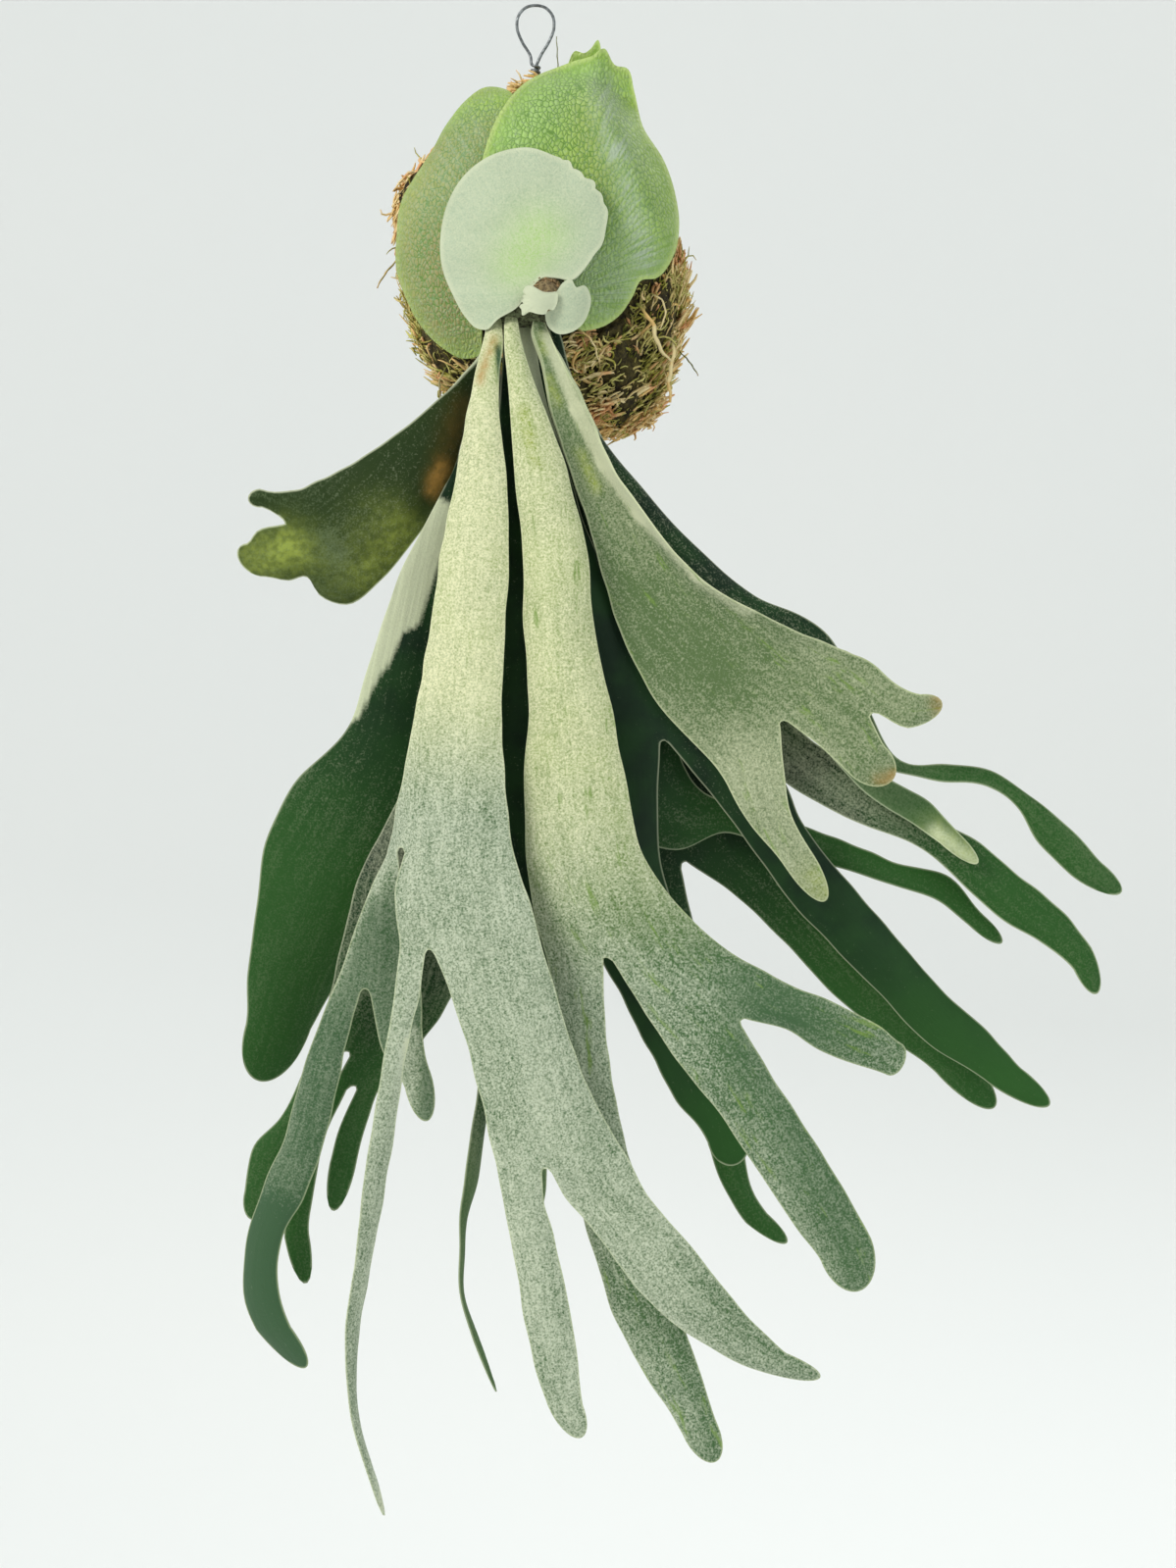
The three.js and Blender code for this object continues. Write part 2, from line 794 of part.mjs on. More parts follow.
// Points of one rib: bow is an arch over the whole width, a roll is a curl of one margin.
function ribPoints({ left, right, lift }, along, marks) {
  const across = right.clone().sub(left);
  const front = along.clone().cross(across).normalize();
  const curl = (share) => Math.max(0, 1 - share / ROLL) ** 2;
  return marks.map((mark) => {
    const height = lift[0] * 4 * mark * (1 - mark) + lift[1] * curl(mark) + lift[2] * curl(1 - mark);
    return left.clone().lerp(right, mark).addScaledVector(front, height);
  });
}

// Ribs of a blade at about every ROW, on smooth curves through its two margins. `start` is the share
// of the parent's last rib that it grows from, with the ribs that lie before it.
function smoothRibs(blade, start) {
  const ribs = [...(start ? [start.rib] : []), ...blade.ribs.map(asRib)];
  const last = ribs.at(-1);
  const tipStep = blade.tip && new THREE.Vector3(...blade.tip).sub(ribMiddle(last));
  const sides = ['left', 'right'].map((side) => {
    const next = blade.tip ? last[side].clone().add(tipStep) : followingPoint(blade, side);
    return [start?.before[side], ...ribs.map((rib) => rib[side]), next];
  });
  const rows = [];
  for (let i = 0; i < ribs.length - 1; i += 1) {
    const length = ribMiddle(ribs[i]).distanceTo(ribMiddle(ribs[i + 1]));
    const steps = Math.max(1, Math.round(length / ROW));
    for (let k = i === 0 ? 0 : 1; k <= steps; k += 1) {
      const t = k / steps;
      rows.push({
        left: onCurve(sides[0], i + 1, t),
        right: onCurve(sides[1], i + 1, t),
        lift: ribs[i].lift.map((value, j) => value + (ribs[i + 1].lift[j] - value) * t),
      });
    }
  }
  return { rows, tipStep };
}

// The outer margins of a forked blade run on into its first and its last fork.
function followingPoint(blade, side) {
  const fork = side === 'left' ? blade.forks[0] : blade.forks.at(-1);
  return asRib(fork.ribs[0])[side];
}

// Adds a blade and all its forks to a sheet. start has the points that it grows from.
function addBlade(sheet, blade, start) {
  const marks = crossings(blade);
  const { rows, tipStep } = smoothRibs(blade, start);
  const middles = rows.map(ribMiddle);
  if (tipStep) middles.push(middles.at(-1).clone().add(tipStep));
  let reach = start ? start.reach : 0;
  let line = start?.line;
  const join = (points) => {
    const next = points.map((point) => addPoint(sheet, point, reach));
    if (line) {
      for (let j = 0; j < next.length - 1; j += 1) {
        sheet.faces.push([line[j], next[j], next[j + 1], line[j + 1]]);
      }
    }
    line = next;
  };
  rows.forEach((row, k) => {
    if (k > 0) reach += middles[k].distanceTo(middles[k - 1]);
    if (k === 0 && start) return;
    const from = middles[Math.max(k - 1, 0)];
    const to = middles[Math.min(k + 1, middles.length - 1)];
    join(ribPoints(row, to.clone().sub(from), marks));
  });
  if (tipStep) addTip(rows.at(-1), tipStep, marks, join);
  else addForks(sheet, blade, rows, marks, line, reach);
}

// The rounded end of a finger: half an ellipse, as a square grid pressed onto a half disc.
function addTip({ left, right, lift }, tipStep, marks, join) {
  const middle = left.clone().lerp(right, 0.5);
  const half = right.clone().sub(left).multiplyScalar(0.5);
  const front = tipStep.clone().cross(half).normalize();
  for (let k = 1; k <= TIP_ROWS; k += 1) {
    const v = k / TIP_ROWS;
    join(marks.map((mark) => {
      const u = 2 * mark - 1;
      return middle.clone()
        .addScaledVector(half, u * Math.sqrt(1 - v ** 2 / 2))
        .addScaledVector(tipStep, v * Math.sqrt(1 - u ** 2 / 2))
        .addScaledVector(front, lift[0] * 4 * mark * (1 - mark) * (1 - v ** 2));
    }));
  }
}

function addForks(sheet, blade, rows, marks, line, reach) {
  const before = rows.at(-2);
  const bow = rows.at(-1).lift[0];
  let first = 0;
  blade.forks.forEach((fork, i) => {
    const last = first + crossings(fork).length - 1;
    const ids = line.slice(first, last + 1);
    const span = marks[last] - marks[first];
    const rib = {
      left: sheet.points[ids[0]],
      right: sheet.points[ids.at(-1)],
      lift: [bow * span ** 2, 0, 0],
    };
    addBlade(sheet, fork, {
      rib,
      line: ids,
      reach,
      before: {
        left: i === 0 ? before.left : undefined,
        right: i === blade.forks.length - 1 ? before.right : undefined,
      },
    });
    first = last + 1;
  });
}

function frondSheet(blade) {
  const sheet = newSheet();
  addBlade(sheet, blade);
  return sheet;
}

const frondThickness = (sheet) => (i) => (BLADE + STALK * Math.exp(-sheet.reach[i] / STALK_FADE)) / 2;

function frondBody(sheet, clearance = 0) {
  const half = frondThickness(sheet);
  const face = (i) => half(i) + clearance;
  return thicken(sheet, { front: face, back: face, grow: clearance });
}

// ---- Building a shield ---------------------------------------------------------------------------

function shieldSheet({ under, centre, outline, forward }) {
  const sheet = newSheet();
  const flat = outline.map(([x, z]) => new THREE.Vector3(x, 0, z));
  const around = [flat.at(-1), ...flat, flat[0], flat[1]];
  const hub = new THREE.Vector3(centre[0], 0, centre[1]);
  const lay = (point) => {
    point.y = domeDepth(point.x, point.z, under) - forward(point.x, point.z);
    return addPoint(sheet, point, 0);
  };
  const middle = lay(hub.clone());
  let inner;
  for (const share of SHIELD_RINGS) {
    const ring = Array.from({ length: SHIELD_SPOKES }, (_, k) => {
      const place = (k * outline.length) / SHIELD_SPOKES;
      const i = Math.floor(place);
      return lay(hub.clone().lerp(onCurve(around, i + 1, place - i), share));
    });
    ring.forEach((id, k) => {
      const next = (k + 1) % SHIELD_SPOKES;
      if (inner) sheet.faces.push([inner[k], id, ring[next], inner[next]]);
      else sheet.faces.push([middle, id, ring[next]]);
    });
    inner = ring;
  }
  return facingFront(sheet);
}

// The sheet, with its faces turned over if they look away from the front.
function facingFront(sheet) {
  const total = sheetNormals(sheet).reduce((sum, normal) => sum + normal.y, 0);
  if (total > 0) sheet.faces.forEach((face) => face.reverse());
  return sheet;
}

function shieldBody(sheet, clearance = 0) {
  const face = () => SHIELD / 2 + clearance;
  return thicken(sheet, { front: face, back: face, grow: clearance });
}

// All that lies in front of a shield's back face, with a clearance: what the moss must leave free.
function shieldCurtain(sheet) {
  const face = () => SHIELD / 2 + SEAT;
  return thicken(sheet, { front: face, back: face, grow: SEAT + SHIELD, forward: BALL.deep });
}

// ---- Moss, rhizome and wire ----------------------------------------------------------------------

function mossBody() {
  const rings = MOSS_RINGS.map(([z, left, right, deep], i) => (
    Array.from({ length: MOSS_SEGMENTS }, (_, k) => {
      const turn = (2 * Math.PI * k) / MOSS_SEGMENTS;
      const bump = MOSS_BUMP * Math.sin(3 * turn + 1.7 * i) * Math.cos(2 * turn - 2.3 * i);
      return new THREE.Vector3(
        (left + right) / 2 + ((right - left) / 2 + bump) * Math.cos(turn),
        -(deep + bump) * Math.sin(turn),
        z + bump / 2,
      );
    })
  ));
  const poles = MOSS_POLES.map(([x, z]) => new THREE.Vector3(x, 0, z));
  const vertices = [...rings.flat(), ...poles];
  const top = vertices.length - 2;
  const triangles = [];
  const at = (ring, k) => ring * MOSS_SEGMENTS + (k % MOSS_SEGMENTS);
  for (let k = 0; k < MOSS_SEGMENTS; k += 1) {
    triangles.push(top, at(0, k + 1), at(0, k));
    triangles.push(top + 1, at(rings.length - 1, k), at(rings.length - 1, k + 1));
    for (let i = 1; i < rings.length; i += 1) {
      triangles.push(at(i - 1, k), at(i - 1, k + 1), at(i, k));
      triangles.push(at(i, k), at(i - 1, k + 1), at(i, k + 1));
    }
  }
  return outward(vertices, triangles);
}

// A closed body, turned so that its faces look outwards.
function outward(vertices, triangles) {
  let volume = 0;
  for (let i = 0; i < triangles.length; i += 3) {
    const [a, b, c] = [0, 1, 2].map((j) => vertices[triangles[i + j]]);
    volume += a.dot(b.clone().cross(c));
  }
  return bodyOf(vertices, volume > 0 ? triangles : [...triangles].reverse());
}

// The rhizome: a short stub with rounded sides, and the growing tip at its front.
function rhizomeBody(clearance = 0) {
  const stub = new THREE.IcosahedronGeometry(1, 2);
  const position = stub.getAttribute('position');
  const point = new THREE.Vector3();
  for (let i = 0; i < position.count; i += 1) {
    point.fromBufferAttribute(position, i);
    const size = Math.hypot(...point.toArray().map((value) => Math.abs(value) ** (RHIZOME.power / 2)));
    point.divideScalar(size ** (2 / RHIZOME.power));
    RHIZOME.half.forEach((half, axis) => {
      point.setComponent(axis, point.getComponent(axis) * (half + clearance) + RHIZOME.at[axis]);
    });
    position.setXYZ(i, point.x, point.y, point.z);
  }
  const tip = new THREE.IcosahedronGeometry(GROWING_TIP.radius + clearance, 1);
  tip.translate(...GROWING_TIP.at);
  return bodyOfGeometry(stub).add(bodyOfGeometry(tip));
}

// The hanger is one wire: a straight foot in the moss, the stem, the eye, and the free end wound
// round the stem under the eye. longer lengthens its foot.
function wirePoints(longer) {
  const neck = -EYE_HEIGHT;
  const points = [
    [FOOT_LENGTH + longer, 0, STEM_END - 3],
    [6, 0, STEM_END - 1],
    [1, 0, STEM_END + 3],
    [0, 0, STEM_END + 9],
    [0, 0, neck - 12],
    [0, 0, neck - 2],
  ];
  const [half, high] = [EYE_WIDTH / 2 + WIRE / 2, EYE_HEIGHT + WIRE / 2];
  const rightHalf = EYE_SHAPE.map(([across, up]) => [across * half, 0, neck + up * high]);
  const leftHalf = rightHalf.slice(0, -1).reverse().map(([x, y, z]) => [-x, y, z]);
  points.push(...rightHalf, ...leftHalf);
  const wound = WIRE + TWIST_GAP;
  for (let k = 1; k <= TWIST_TURNS * 8; k += 1) {
    const turn = Math.PI * (1 + k / 4);
    points.push([wound * Math.cos(turn), wound * Math.sin(turn), neck - (TWIST_PITCH * k) / 8]);
  }
  return points.map(([x, y, z]) => new THREE.Vector3(x, y, z));
}

function wireBody(clearance = 0) {
  const points = wirePoints(clearance);
  const path = new THREE.CatmullRomCurve3(points, false, 'centripetal');
  path.getUtoTmapping = (share) => share;
  const section = new THREE.Shape();
  section.absarc(0, 0, WIRE / 2 + clearance, 0, 2 * Math.PI);
  const steps = 2 * (points.length - 1);
  const tube = new THREE.ExtrudeGeometry(section, { extrudePath: path, steps, curveSegments: 3 });
  return bodyOfGeometry(tube);
}

// ---- The plant -----------------------------------------------------------------------------------

const fronds = {
  frond_front_left: frontLeft,
  frond_front_right: frontRight,
  frond_right: right,
  frond_upper_left: upperLeft,
  frond_left: left,
  frond_left_rear: leftRear,
  frond_centre_thin: centreThin,
  frond_centre_rear: centreRear,
  frond_right_rear: rightRear,
  frond_right_middle: rightMiddle,
  frond_right_lower: lowerRight,
  frond_rear_fan: rearFan,
};

const shields = {
  shield_top: topShield,
  shield_left: leftShield,
  shield_right: rightShield,
  shield_front: frontShield,
  shield_young: youngShield,
  frond_bud: budFrond,
};

const colours = {
  felt: { color: 0xa9bda0, roughness: 0.9 },
  darkLeaf: { color: 0x2f5230, roughness: 0.75 },
  greenShield: { color: 0x8fb455, roughness: 0.7 },
  oldShield: { color: 0x8b9a55, roughness: 0.8 },
  paleShield: { color: 0xb9ccb2, roughness: 0.9 },
  woolly: { color: 0xd4dbc6, roughness: 1 },
  moss: { color: 0x6b6a35, roughness: 1 },
  rhizome: { color: 0x5a4530, roughness: 0.95 },
  wire: { color: 0x6f7376, roughness: 0.4, metalness: 0.9 },
};

const finishes = {
  frond_front_left: 'felt',
  frond_front_right: 'felt',
  frond_right: 'felt',
  shield_top: 'greenShield',
  shield_left: 'oldShield',
  shield_right: 'greenShield',
  shield_front: 'paleShield',
  shield_young: 'paleShield',
  frond_bud: 'woolly',
};

const fern = new THREE.Group();

function place(name, body, finish) {
  const mesh = new THREE.Mesh(geometryOf(body), new THREE.MeshStandardMaterial(colours[finish]));
  mesh.name = name;
  fern.add(mesh);
}

const frondSheets = Object.entries(fronds).map(([name, blade]) => [name, frondSheet(blade)]);
const shieldSheets = Object.entries(shields).map(([name, shield]) => [name, shieldSheet(shield)]);

for (const [name, sheet] of frondSheets) place(name, frondBody(sheet), finishes[name] ?? 'darkLeaf');
for (const [name, sheet] of shieldSheets) place(name, shieldBody(sheet), finishes[name]);

const grown = [
  ...frondSheets.map(([, sheet]) => frondBody(sheet, SEAT)),
  ...shieldSheets.map(([, sheet]) => shieldBody(sheet, SEAT)),
];
const curtains = shieldSheets
  .filter(([name]) => name !== 'shield_young' && name !== 'frond_bud')
  .map(([, sheet]) => shieldCurtain(sheet));
const inMoss = [...curtains, ...grown, rhizomeBody(SEAT), wireBody(SEAT)];

place('rhizome', cutBy(rhizomeBody(), grown), 'rhizome');
place('moss_ball', cutBy(mossBody(), inMoss), 'moss');
place('wire_hanger', wireBody(), 'wire');

export default fern;
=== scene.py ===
"""A staghorn fern grown on a ball of moss that hangs from a wire eye.

The file is laid out as an add-on and runs as a script. Each part of the plant has an operator of its own,
which works its surfaces out on grids and gives them their finish. Metres, +Z up, the front of the fern
towards -Y. The origin is the inner top of the wire eye. The tables of points and ribs are in millimetres.
"""

import math

import bpy
import numpy as np
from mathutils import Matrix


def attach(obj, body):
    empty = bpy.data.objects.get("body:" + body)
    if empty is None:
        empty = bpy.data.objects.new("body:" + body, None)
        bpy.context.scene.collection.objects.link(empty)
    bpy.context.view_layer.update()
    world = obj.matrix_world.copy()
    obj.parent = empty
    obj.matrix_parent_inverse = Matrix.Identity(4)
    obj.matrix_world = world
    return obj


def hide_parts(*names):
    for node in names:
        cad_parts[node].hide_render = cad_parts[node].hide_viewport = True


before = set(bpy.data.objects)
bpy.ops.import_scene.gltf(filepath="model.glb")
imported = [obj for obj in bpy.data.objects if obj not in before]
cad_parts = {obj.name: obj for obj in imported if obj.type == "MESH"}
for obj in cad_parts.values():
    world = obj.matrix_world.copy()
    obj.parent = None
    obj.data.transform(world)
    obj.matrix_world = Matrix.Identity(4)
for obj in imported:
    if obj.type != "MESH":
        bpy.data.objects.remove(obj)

bl_info = {
    "name": "Staghorn Fern",
    "version": (1, 0, 0),
    "blender": (4, 5, 0),
    "location": "3D View > Sidebar > Fern",
    "description": "Builds a staghorn fern on a ball of moss around its packed solids",
    "category": "Add Mesh",
}

MM = 0.001

# ---- The fronds ----------------------------------------------------------------------------------
# A blade is a row of ribs from its foot outwards. A rib is
#   (left x, y, z, right x, y, z, bow, left roll, right roll)
# with its two ends on the margins, left and right as seen from the front when the blade hangs down.
# bow lifts the middle towards the front, a roll lifts that margin. A blade ends in a tip, or in forks,
# which share its last rib from left to right and have a round notch between them. bare is how much
# less felt it has than the others, which leaves it darker green; it is set on the left branch of the front
# left frond, where that darkness is painted shade. The imported solids have the same ribs, but for the
# notches of the front left frond, the lobes of the upper left one and the margins of the left one, which
# are worked out a little further here.

NOTCH = 5 * MM          # width of the round notch between two fingers
ROLL = 0.28             # share of a blade that its rolled margin takes


def frond(ribs, **rest):
    """A frond's blade, with its tip or its forks."""
    return {"ribs": ribs, **rest}


def branch(share, ribs, **rest):
    """A blade that grows from its share of another blade's last rib."""
    return {"share": share, "ribs": ribs, **rest}


FRONT_LEFT = frond([
    (-21, -71, -173, -17, -71, -173), (-24, -80, -184, -16, -81, -184, 1),
    (-31, -89, -214, -18, -91, -214, 3), (-40, -100, -264, -13, -103, -264, 5),
    (-47, -107, -304, -12, -110, -304, 5), (-52, -111, -339, -14, -116, -339, 5),
    (-59, -114, -378, -15, -121, -383, 5), (-65, -114, -412, -13, -124, -416, 6),
    (-75, -108, -446, -9, -125, -447, 7, -8),
], forks=[
    # The left branch has thinner felt, so it is darker green: painted shade, for it lies in shade behind the
    # rest of the frond.
    branch(0.12, [
        (-81, -104, -464, -65, -107, -464, 1), (-88, -100, -481, -61, -102, -486, 1),
        (-100, -92, -514, -56, -92, -524, 2),
    ], bare=0.58, forks=[
        branch(0.34, [
            (-111, -86, -540, -93, -89, -536, 1), (-120, -82, -567, -98, -87, -560, 2),
            (-126, -79, -590, -103, -85, -583, 2), (-139, -76, -621, -116, -82, -621, 2),
            (-147, -73, -650, -128, -80, -644, 2), (-148, -71, -672, -130, -78, -668, 2),
            (-142, -70, -691, -124, -76, -689, 1),
        ], bare=0.66, tip=(-118, -71, -711)),
        branch(0.66, [
            (-76, -90, -547, -55, -90, -547, 1), (-65, -88, -566, -51, -88, -562, 1),
        ], tip=(-54, -86, -583)),
    ]),
    branch(0.88, [
        (-68, -120, -464, -2, -127, -468, 5), (-66, -125, -496, 7, -128, -500, 5),
    ], forks=[
        branch(0.19, [
            (-68, -126, -514, -56, -127, -517, 1), (-72, -128, -539, -61, -126, -539, 1),
            (-77, -129, -568, -66, -124, -568, 1), (-83, -128, -607, -72, -120, -605, 1),
            (-88, -124, -651, -81, -114, -653, 1), (-93, -119, -686, -87, -108, -687, 1),
            (-92, -112, -721, -89, -101, -724, 1), (-84, -105, -757, -81, -96, -759, 1),
        ], tip=(-75, -98, -781)),
        branch(0.81, [
            (-42, -128, -512, 10, -128, -510, 5), (-28, -127, -558, 26, -126, -558, 5),
            (-17, -126, -606, 50, -125, -603, 4),
        ], forks=[
            branch(0.35, [
                (-14, -125, -621, 6, -125, -619, 2), (-10, -124, -641, 11, -124, -639, 2),
                (-5, -122, -671, 18, -122, -670, 2), (1, -119, -701, 23, -119, -701, 2),
                (8, -117, -722, 25, -117, -722, 1),
            ], tip=(23, -115, -739)),
            branch(0.65, [
                (16, -124, -617, 57, -124, -616, 3), (29, -123, -632, 66, -124, -627, 3),
                (45, -121, -654, 82, -123, -646, 3), (59, -119, -671, 97, -122, -665, 3),
                (80, -117, -688, 112, -120, -682, 2), (105, -114, -702, 127, -117, -696, 1),
            ], tip=(142, -113, -710)),
        ]),
    ]),
])

FRONT_RIGHT = frond([
    (-14, -73, -172, -9, -73, -172), (-14, -82, -182, -8, -82, -182, 1), (-12, -91, -214, 2, -91, -214, 3),
    (-9, -99, -254, 17, -98, -254, 5), (-5, -104, -294, 27, -103, -294, 6),
    (-4, -107, -333, 31, -107, -333, 6), (-2, -109, -373, 39, -109, -373, 6),
    (-4, -110, -412, 47, -111, -412, 6), (-3, -109, -447, 55, -113, -447, 7),
    (2, -106, -481, 78, -116, -478, 8), (8, -103, -503, 97, -119, -495, 8),
], forks=[
    branch(0.34, [
        (12, -102, -526, 36, -104, -526, 2), (15, -101, -555, 39, -103, -555, 2),
        (19, -100, -590, 46, -102, -590, 3), (24, -99, -625, 55, -101, -622, 3),
        (32, -98, -652, 64, -100, -652, 3), (43, -96, -685, 75, -98, -682, 3),
        (58, -94, -712, 84, -96, -708, 2), (76, -92, -741, 93, -94, -735, 1),
    ], tip=(92, -92, -755)),
    branch(0.66, [
        (57, -115, -527, 115, -122, -505, 5), (74, -118, -552, 133, -125, -514, 4),
    ], forks=[
        branch(0.56, [
            (90, -119, -572, 118, -122, -555, 3), (102, -119, -589, 130, -122, -574, 3),
            (117, -118, -611, 144, -121, -596, 3), (132, -117, -634, 158, -120, -619, 2),
            (144, -115, -650, 169, -118, -639, 1),
        ], tip=(164, -115, -665)),
        branch(0.44, [
            (126, -124, -534, 144, -127, -518, 2), (142, -124, -544, 159, -128, -525, 2),
            (163, -124, -552, 174, -128, -533, 1), (177, -123, -557, 183, -127, -541, 0),
        ], tip=(185, -125, -551)),
    ]),
])

RIGHT = frond([
    (0, -71, -173, 4, -71, -173), (-1, -78, -181, 7, -76, -181, 0), (5, -84, -201, 16, -82, -199, -1, 0, 1),
    (9, -88, -223, 27, -88, -221, -3, 0, 3), (18, -90, -251, 42, -93, -255, -5, 0, 4),
    (27, -91, -278, 60, -97, -280, -6, 0, 4), (36, -91, -309, 87, -99, -310, -6, 0, 2),
    (46, -90, -340, 127, -98, -332, -6), (65, -89, -374, 156, -96, -344, -5),
    (96, -88, -408, 168, -96, -349, -4),
], forks=[
    branch(0.43, [
        (106, -88, -427, 127, -90, -405, -1), (118, -86, -442, 130, -88, -425, -1),
        (130, -84, -457, 141, -86, -446, 0),
    ], tip=(149, -82, -471)),
    branch(0.57, [
        (152, -94, -399, 187, -99, -364, -2),
    ], forks=[
        branch(0.6, [
            (161, -93, -408, 178, -95, -393, 1),
        ], tip=(181, -92, -411)),
        branch(0.4, [
            (189, -98, -384, 195, -100, -367, 1),
        ], tip=(206, -97, -374)),
    ]),
])

UPPER_LEFT = frond([
    (-23, -60, -175, -22, -58, -178), (-25, -66, -188, -23, -62, -192, 0),
    (-36, -73, -203, -31, -64, -212, 1), (-52, -80, -219, -37, -68, -235, 3),
    (-72, -85, -236, -45, -70, -263, 5), (-91, -87, -249, -60, -70, -286, 6),
    (-107, -86, -257, -78, -67, -307, 5), (-118, -85, -262, -96, -65, -320, 4),
    (-125, -83, -263, -110, -66, -315, 3), (-135, -82, -263, -116, -68, -306, 3),
], forks=[
    branch(0.3, [
        (-139, -82, -262, -138, -80, -271, 1),
    ], tip=(-145, -80, -267)),
    branch(0.7, [
        (-141, -79, -283, -125, -71, -308, 2), (-146, -77, -289, -137, -72, -306, 1),
    ], tip=(-150, -73, -298)),
])

LEFT = frond([
    (-21, -52, -176, -18, -52, -176), (-24, -60, -196, -18, -57, -196, 1),
    (-32, -65, -227, -18, -58, -226, 2), (-48, -74, -265, -20, -59, -261, 3),
    (-69, -78, -307, -22, -57, -311, 4), (-82, -78, -346, -27, -54, -357, 5),
    (-97, -75, -386, -32, -50, -405, 6), (-121, -70, -410, -42, -46, -443, 6),
    (-138, -64, -442, -64, -42, -476, 6), (-143, -57, -478, -85, -38, -496, 5),
    (-148, -50, -509, -103, -34, -516, 4), (-150, -43, -537, -117, -30, -540, 3),
], tip=(-142, -34, -567))

LEFT_REAR = frond([
    (-20, -61, -175, -17, -61, -175), (-24, -72, -212, -18, -72, -212, 1),
    (-29, -80, -248, -18, -79, -247, 2), (-38, -86, -298, -19, -84, -298, 3),
    (-47, -88, -343, -19, -86, -343, 4), (-56, -89, -387, -20, -86, -387, 4),
    (-71, -88, -425, -22, -84, -428, 5), (-87, -85, -455, -25, -81, -462, 5),
    (-97, -80, -490, -33, -77, -496, 4), (-104, -74, -520, -43, -73, -523, 4),
    (-114, -68, -549, -65, -69, -553, 3),
], forks=[
    branch(0.34, [
        (-130, -62, -583, -112, -64, -576, 2), (-145, -58, -600, -123, -60, -604, 2),
        (-149, -55, -622, -134, -57, -624, 1),
    ], tip=(-145, -54, -637)),
    branch(0.66, [
        (-104, -64, -569, -79, -66, -568, 2),
    ], forks=[
        branch(0.42, [
            (-116, -60, -599, -108, -61, -595, 1), (-124, -57, -622, -113, -58, -619, 1),
            (-129, -54, -646, -116, -55, -644, 1),
        ], tip=(-118, -52, -670)),
        branch(0.58, [
            (-100, -62, -589, -85, -63, -584, 1), (-105, -59, -607, -91, -60, -605, 1),
        ], tip=(-103, -56, -632)),
    ]),
])

CENTRE_THIN = frond([
    (-15, -57, -176, -12, -57, -176), (-18, -66, -226, -8, -66, -226, 1), (-21, -72, -282, 0, -72, -282, 2),
    (-23, -77, -342, 5, -75, -342, 3), (-27, -78, -402, 9, -75, -402, 4),
    (-29, -76, -452, 12, -73, -452, 4), (-29, -73, -495, 11, -70, -495, 4),
    (-28, -70, -528, 11, -67, -528, 3),
], forks=[
    branch(0.38, [
        (-28, -70, -553, -19, -64, -553, 1), (-30, -70, -578, -24, -61, -581, 1),
        (-35, -70, -610, -29, -59, -614, 1), (-38, -68, -646, -36, -57, -649, 1),
        (-38, -65, -673, -37, -54, -674, 1), (-31, -62, -698, -29, -52, -699, 1),
    ], tip=(-19, -52, -726)),
    branch(0.62, [
        (-10, -66, -558, 9, -64, -558, 2), (-6, -63, -589, 8, -61, -589, 2),
        (-3, -60, -617, 6, -59, -616, 1),
    ], tip=(1, -57, -635)),
])

CENTRE_REAR = frond([
    (-7, -64, -174, -3, -64, -174), (-6, -72, -187, 0, -72, -187, 1), (-3, -79, -213, 5, -78, -213, 2),
    (1, -84, -248, 16, -82, -248, 3), (4, -86, -288, 29, -82, -287, 4), (8, -86, -328, 48, -80, -321, 5),
    (11, -85, -367, 73, -78, -348, 5), (16, -83, -412, 110, -75, -375, 5),
], forks=[
    branch(0.535, [
        (19, -81, -447, 64, -78, -443, 4), (27, -79, -485, 73, -76, -482, 4),
        (43, -77, -517, 86, -74, -512, 3), (58, -75, -546, 97, -72, -539, 3),
        (73, -73, -574, 107, -70, -569, 2), (89, -71, -595, 110, -69, -589, 1),
    ], tip=(103, -69, -607)),
    branch(0.465, [
        (84, -75, -409, 122, -73, -396, 4), (106, -71, -437, 137, -69, -431, 4),
        (129, -67, -469, 161, -65, -462, 4), (154, -63, -496, 188, -61, -493, 4),
        (177, -59, -519, 212, -58, -520, 3), (203, -56, -546, 236, -55, -542, 3),
        (232, -53, -564, 252, -52, -559, 2),
    ], tip=(265, -50, -579)),
])

RIGHT_REAR = frond([
    (2, -56, -174, 6, -56, -174), (7, -66, -197, 12, -65, -196, 1), (17, -72, -227, 27, -71, -222, 2),
    (34, -73, -268, 49, -72, -258, 3), (59, -71, -318, 81, -70, -303, 3),
    (89, -68, -362, 112, -67, -342, 2), (116, -65, -400, 132, -64, -380, 2),
    (146, -63, -422, 158, -62, -401, 2), (172, -62, -434, 180, -61, -418, 3),
    (194, -60, -442, 204, -59, -430, 3), (214, -59, -457, 224, -58, -439, 3),
    (236, -55, -478, 250, -54, -459, 3), (260, -51, -493, 274, -50, -479, 2),
    (279, -48, -508, 288, -47, -497, 1),
], tip=(292, -45, -520))

RIGHT_MIDDLE = frond([
    (7, -62, -173, 11, -62, -173), (10, -70, -195, 16, -68, -194, 1), (18, -77, -223, 27, -74, -224, 2),
    (29, -81, -248, 44, -77, -248, 3), (49, -83, -285, 77, -78, -285, 4),
    (78, -83, -323, 112, -77, -316, 5), (110, -81, -357, 145, -76, -331, 5),
    (141, -79, -386, 164, -75, -358, 4), (171, -76, -418, 190, -73, -401, 2),
], forks=[
    branch(0.64, [
        (188, -74, -429, 202, -72, -421, 1), (208, -71, -442, 218, -70, -438, 1),
    ], tip=(227, -68, -453)),
    branch(0.36, [
        (210, -70, -411, 211, -68, -402, 1), (232, -67, -413, 234, -65, -405, 1),
        (248, -63, -424, 257, -61, -420, 2), (260, -59, -443, 276, -58, -435, 2),
        (277, -56, -459, 293, -55, -453, 2),
    ], tip=(302, -53, -469)),
])

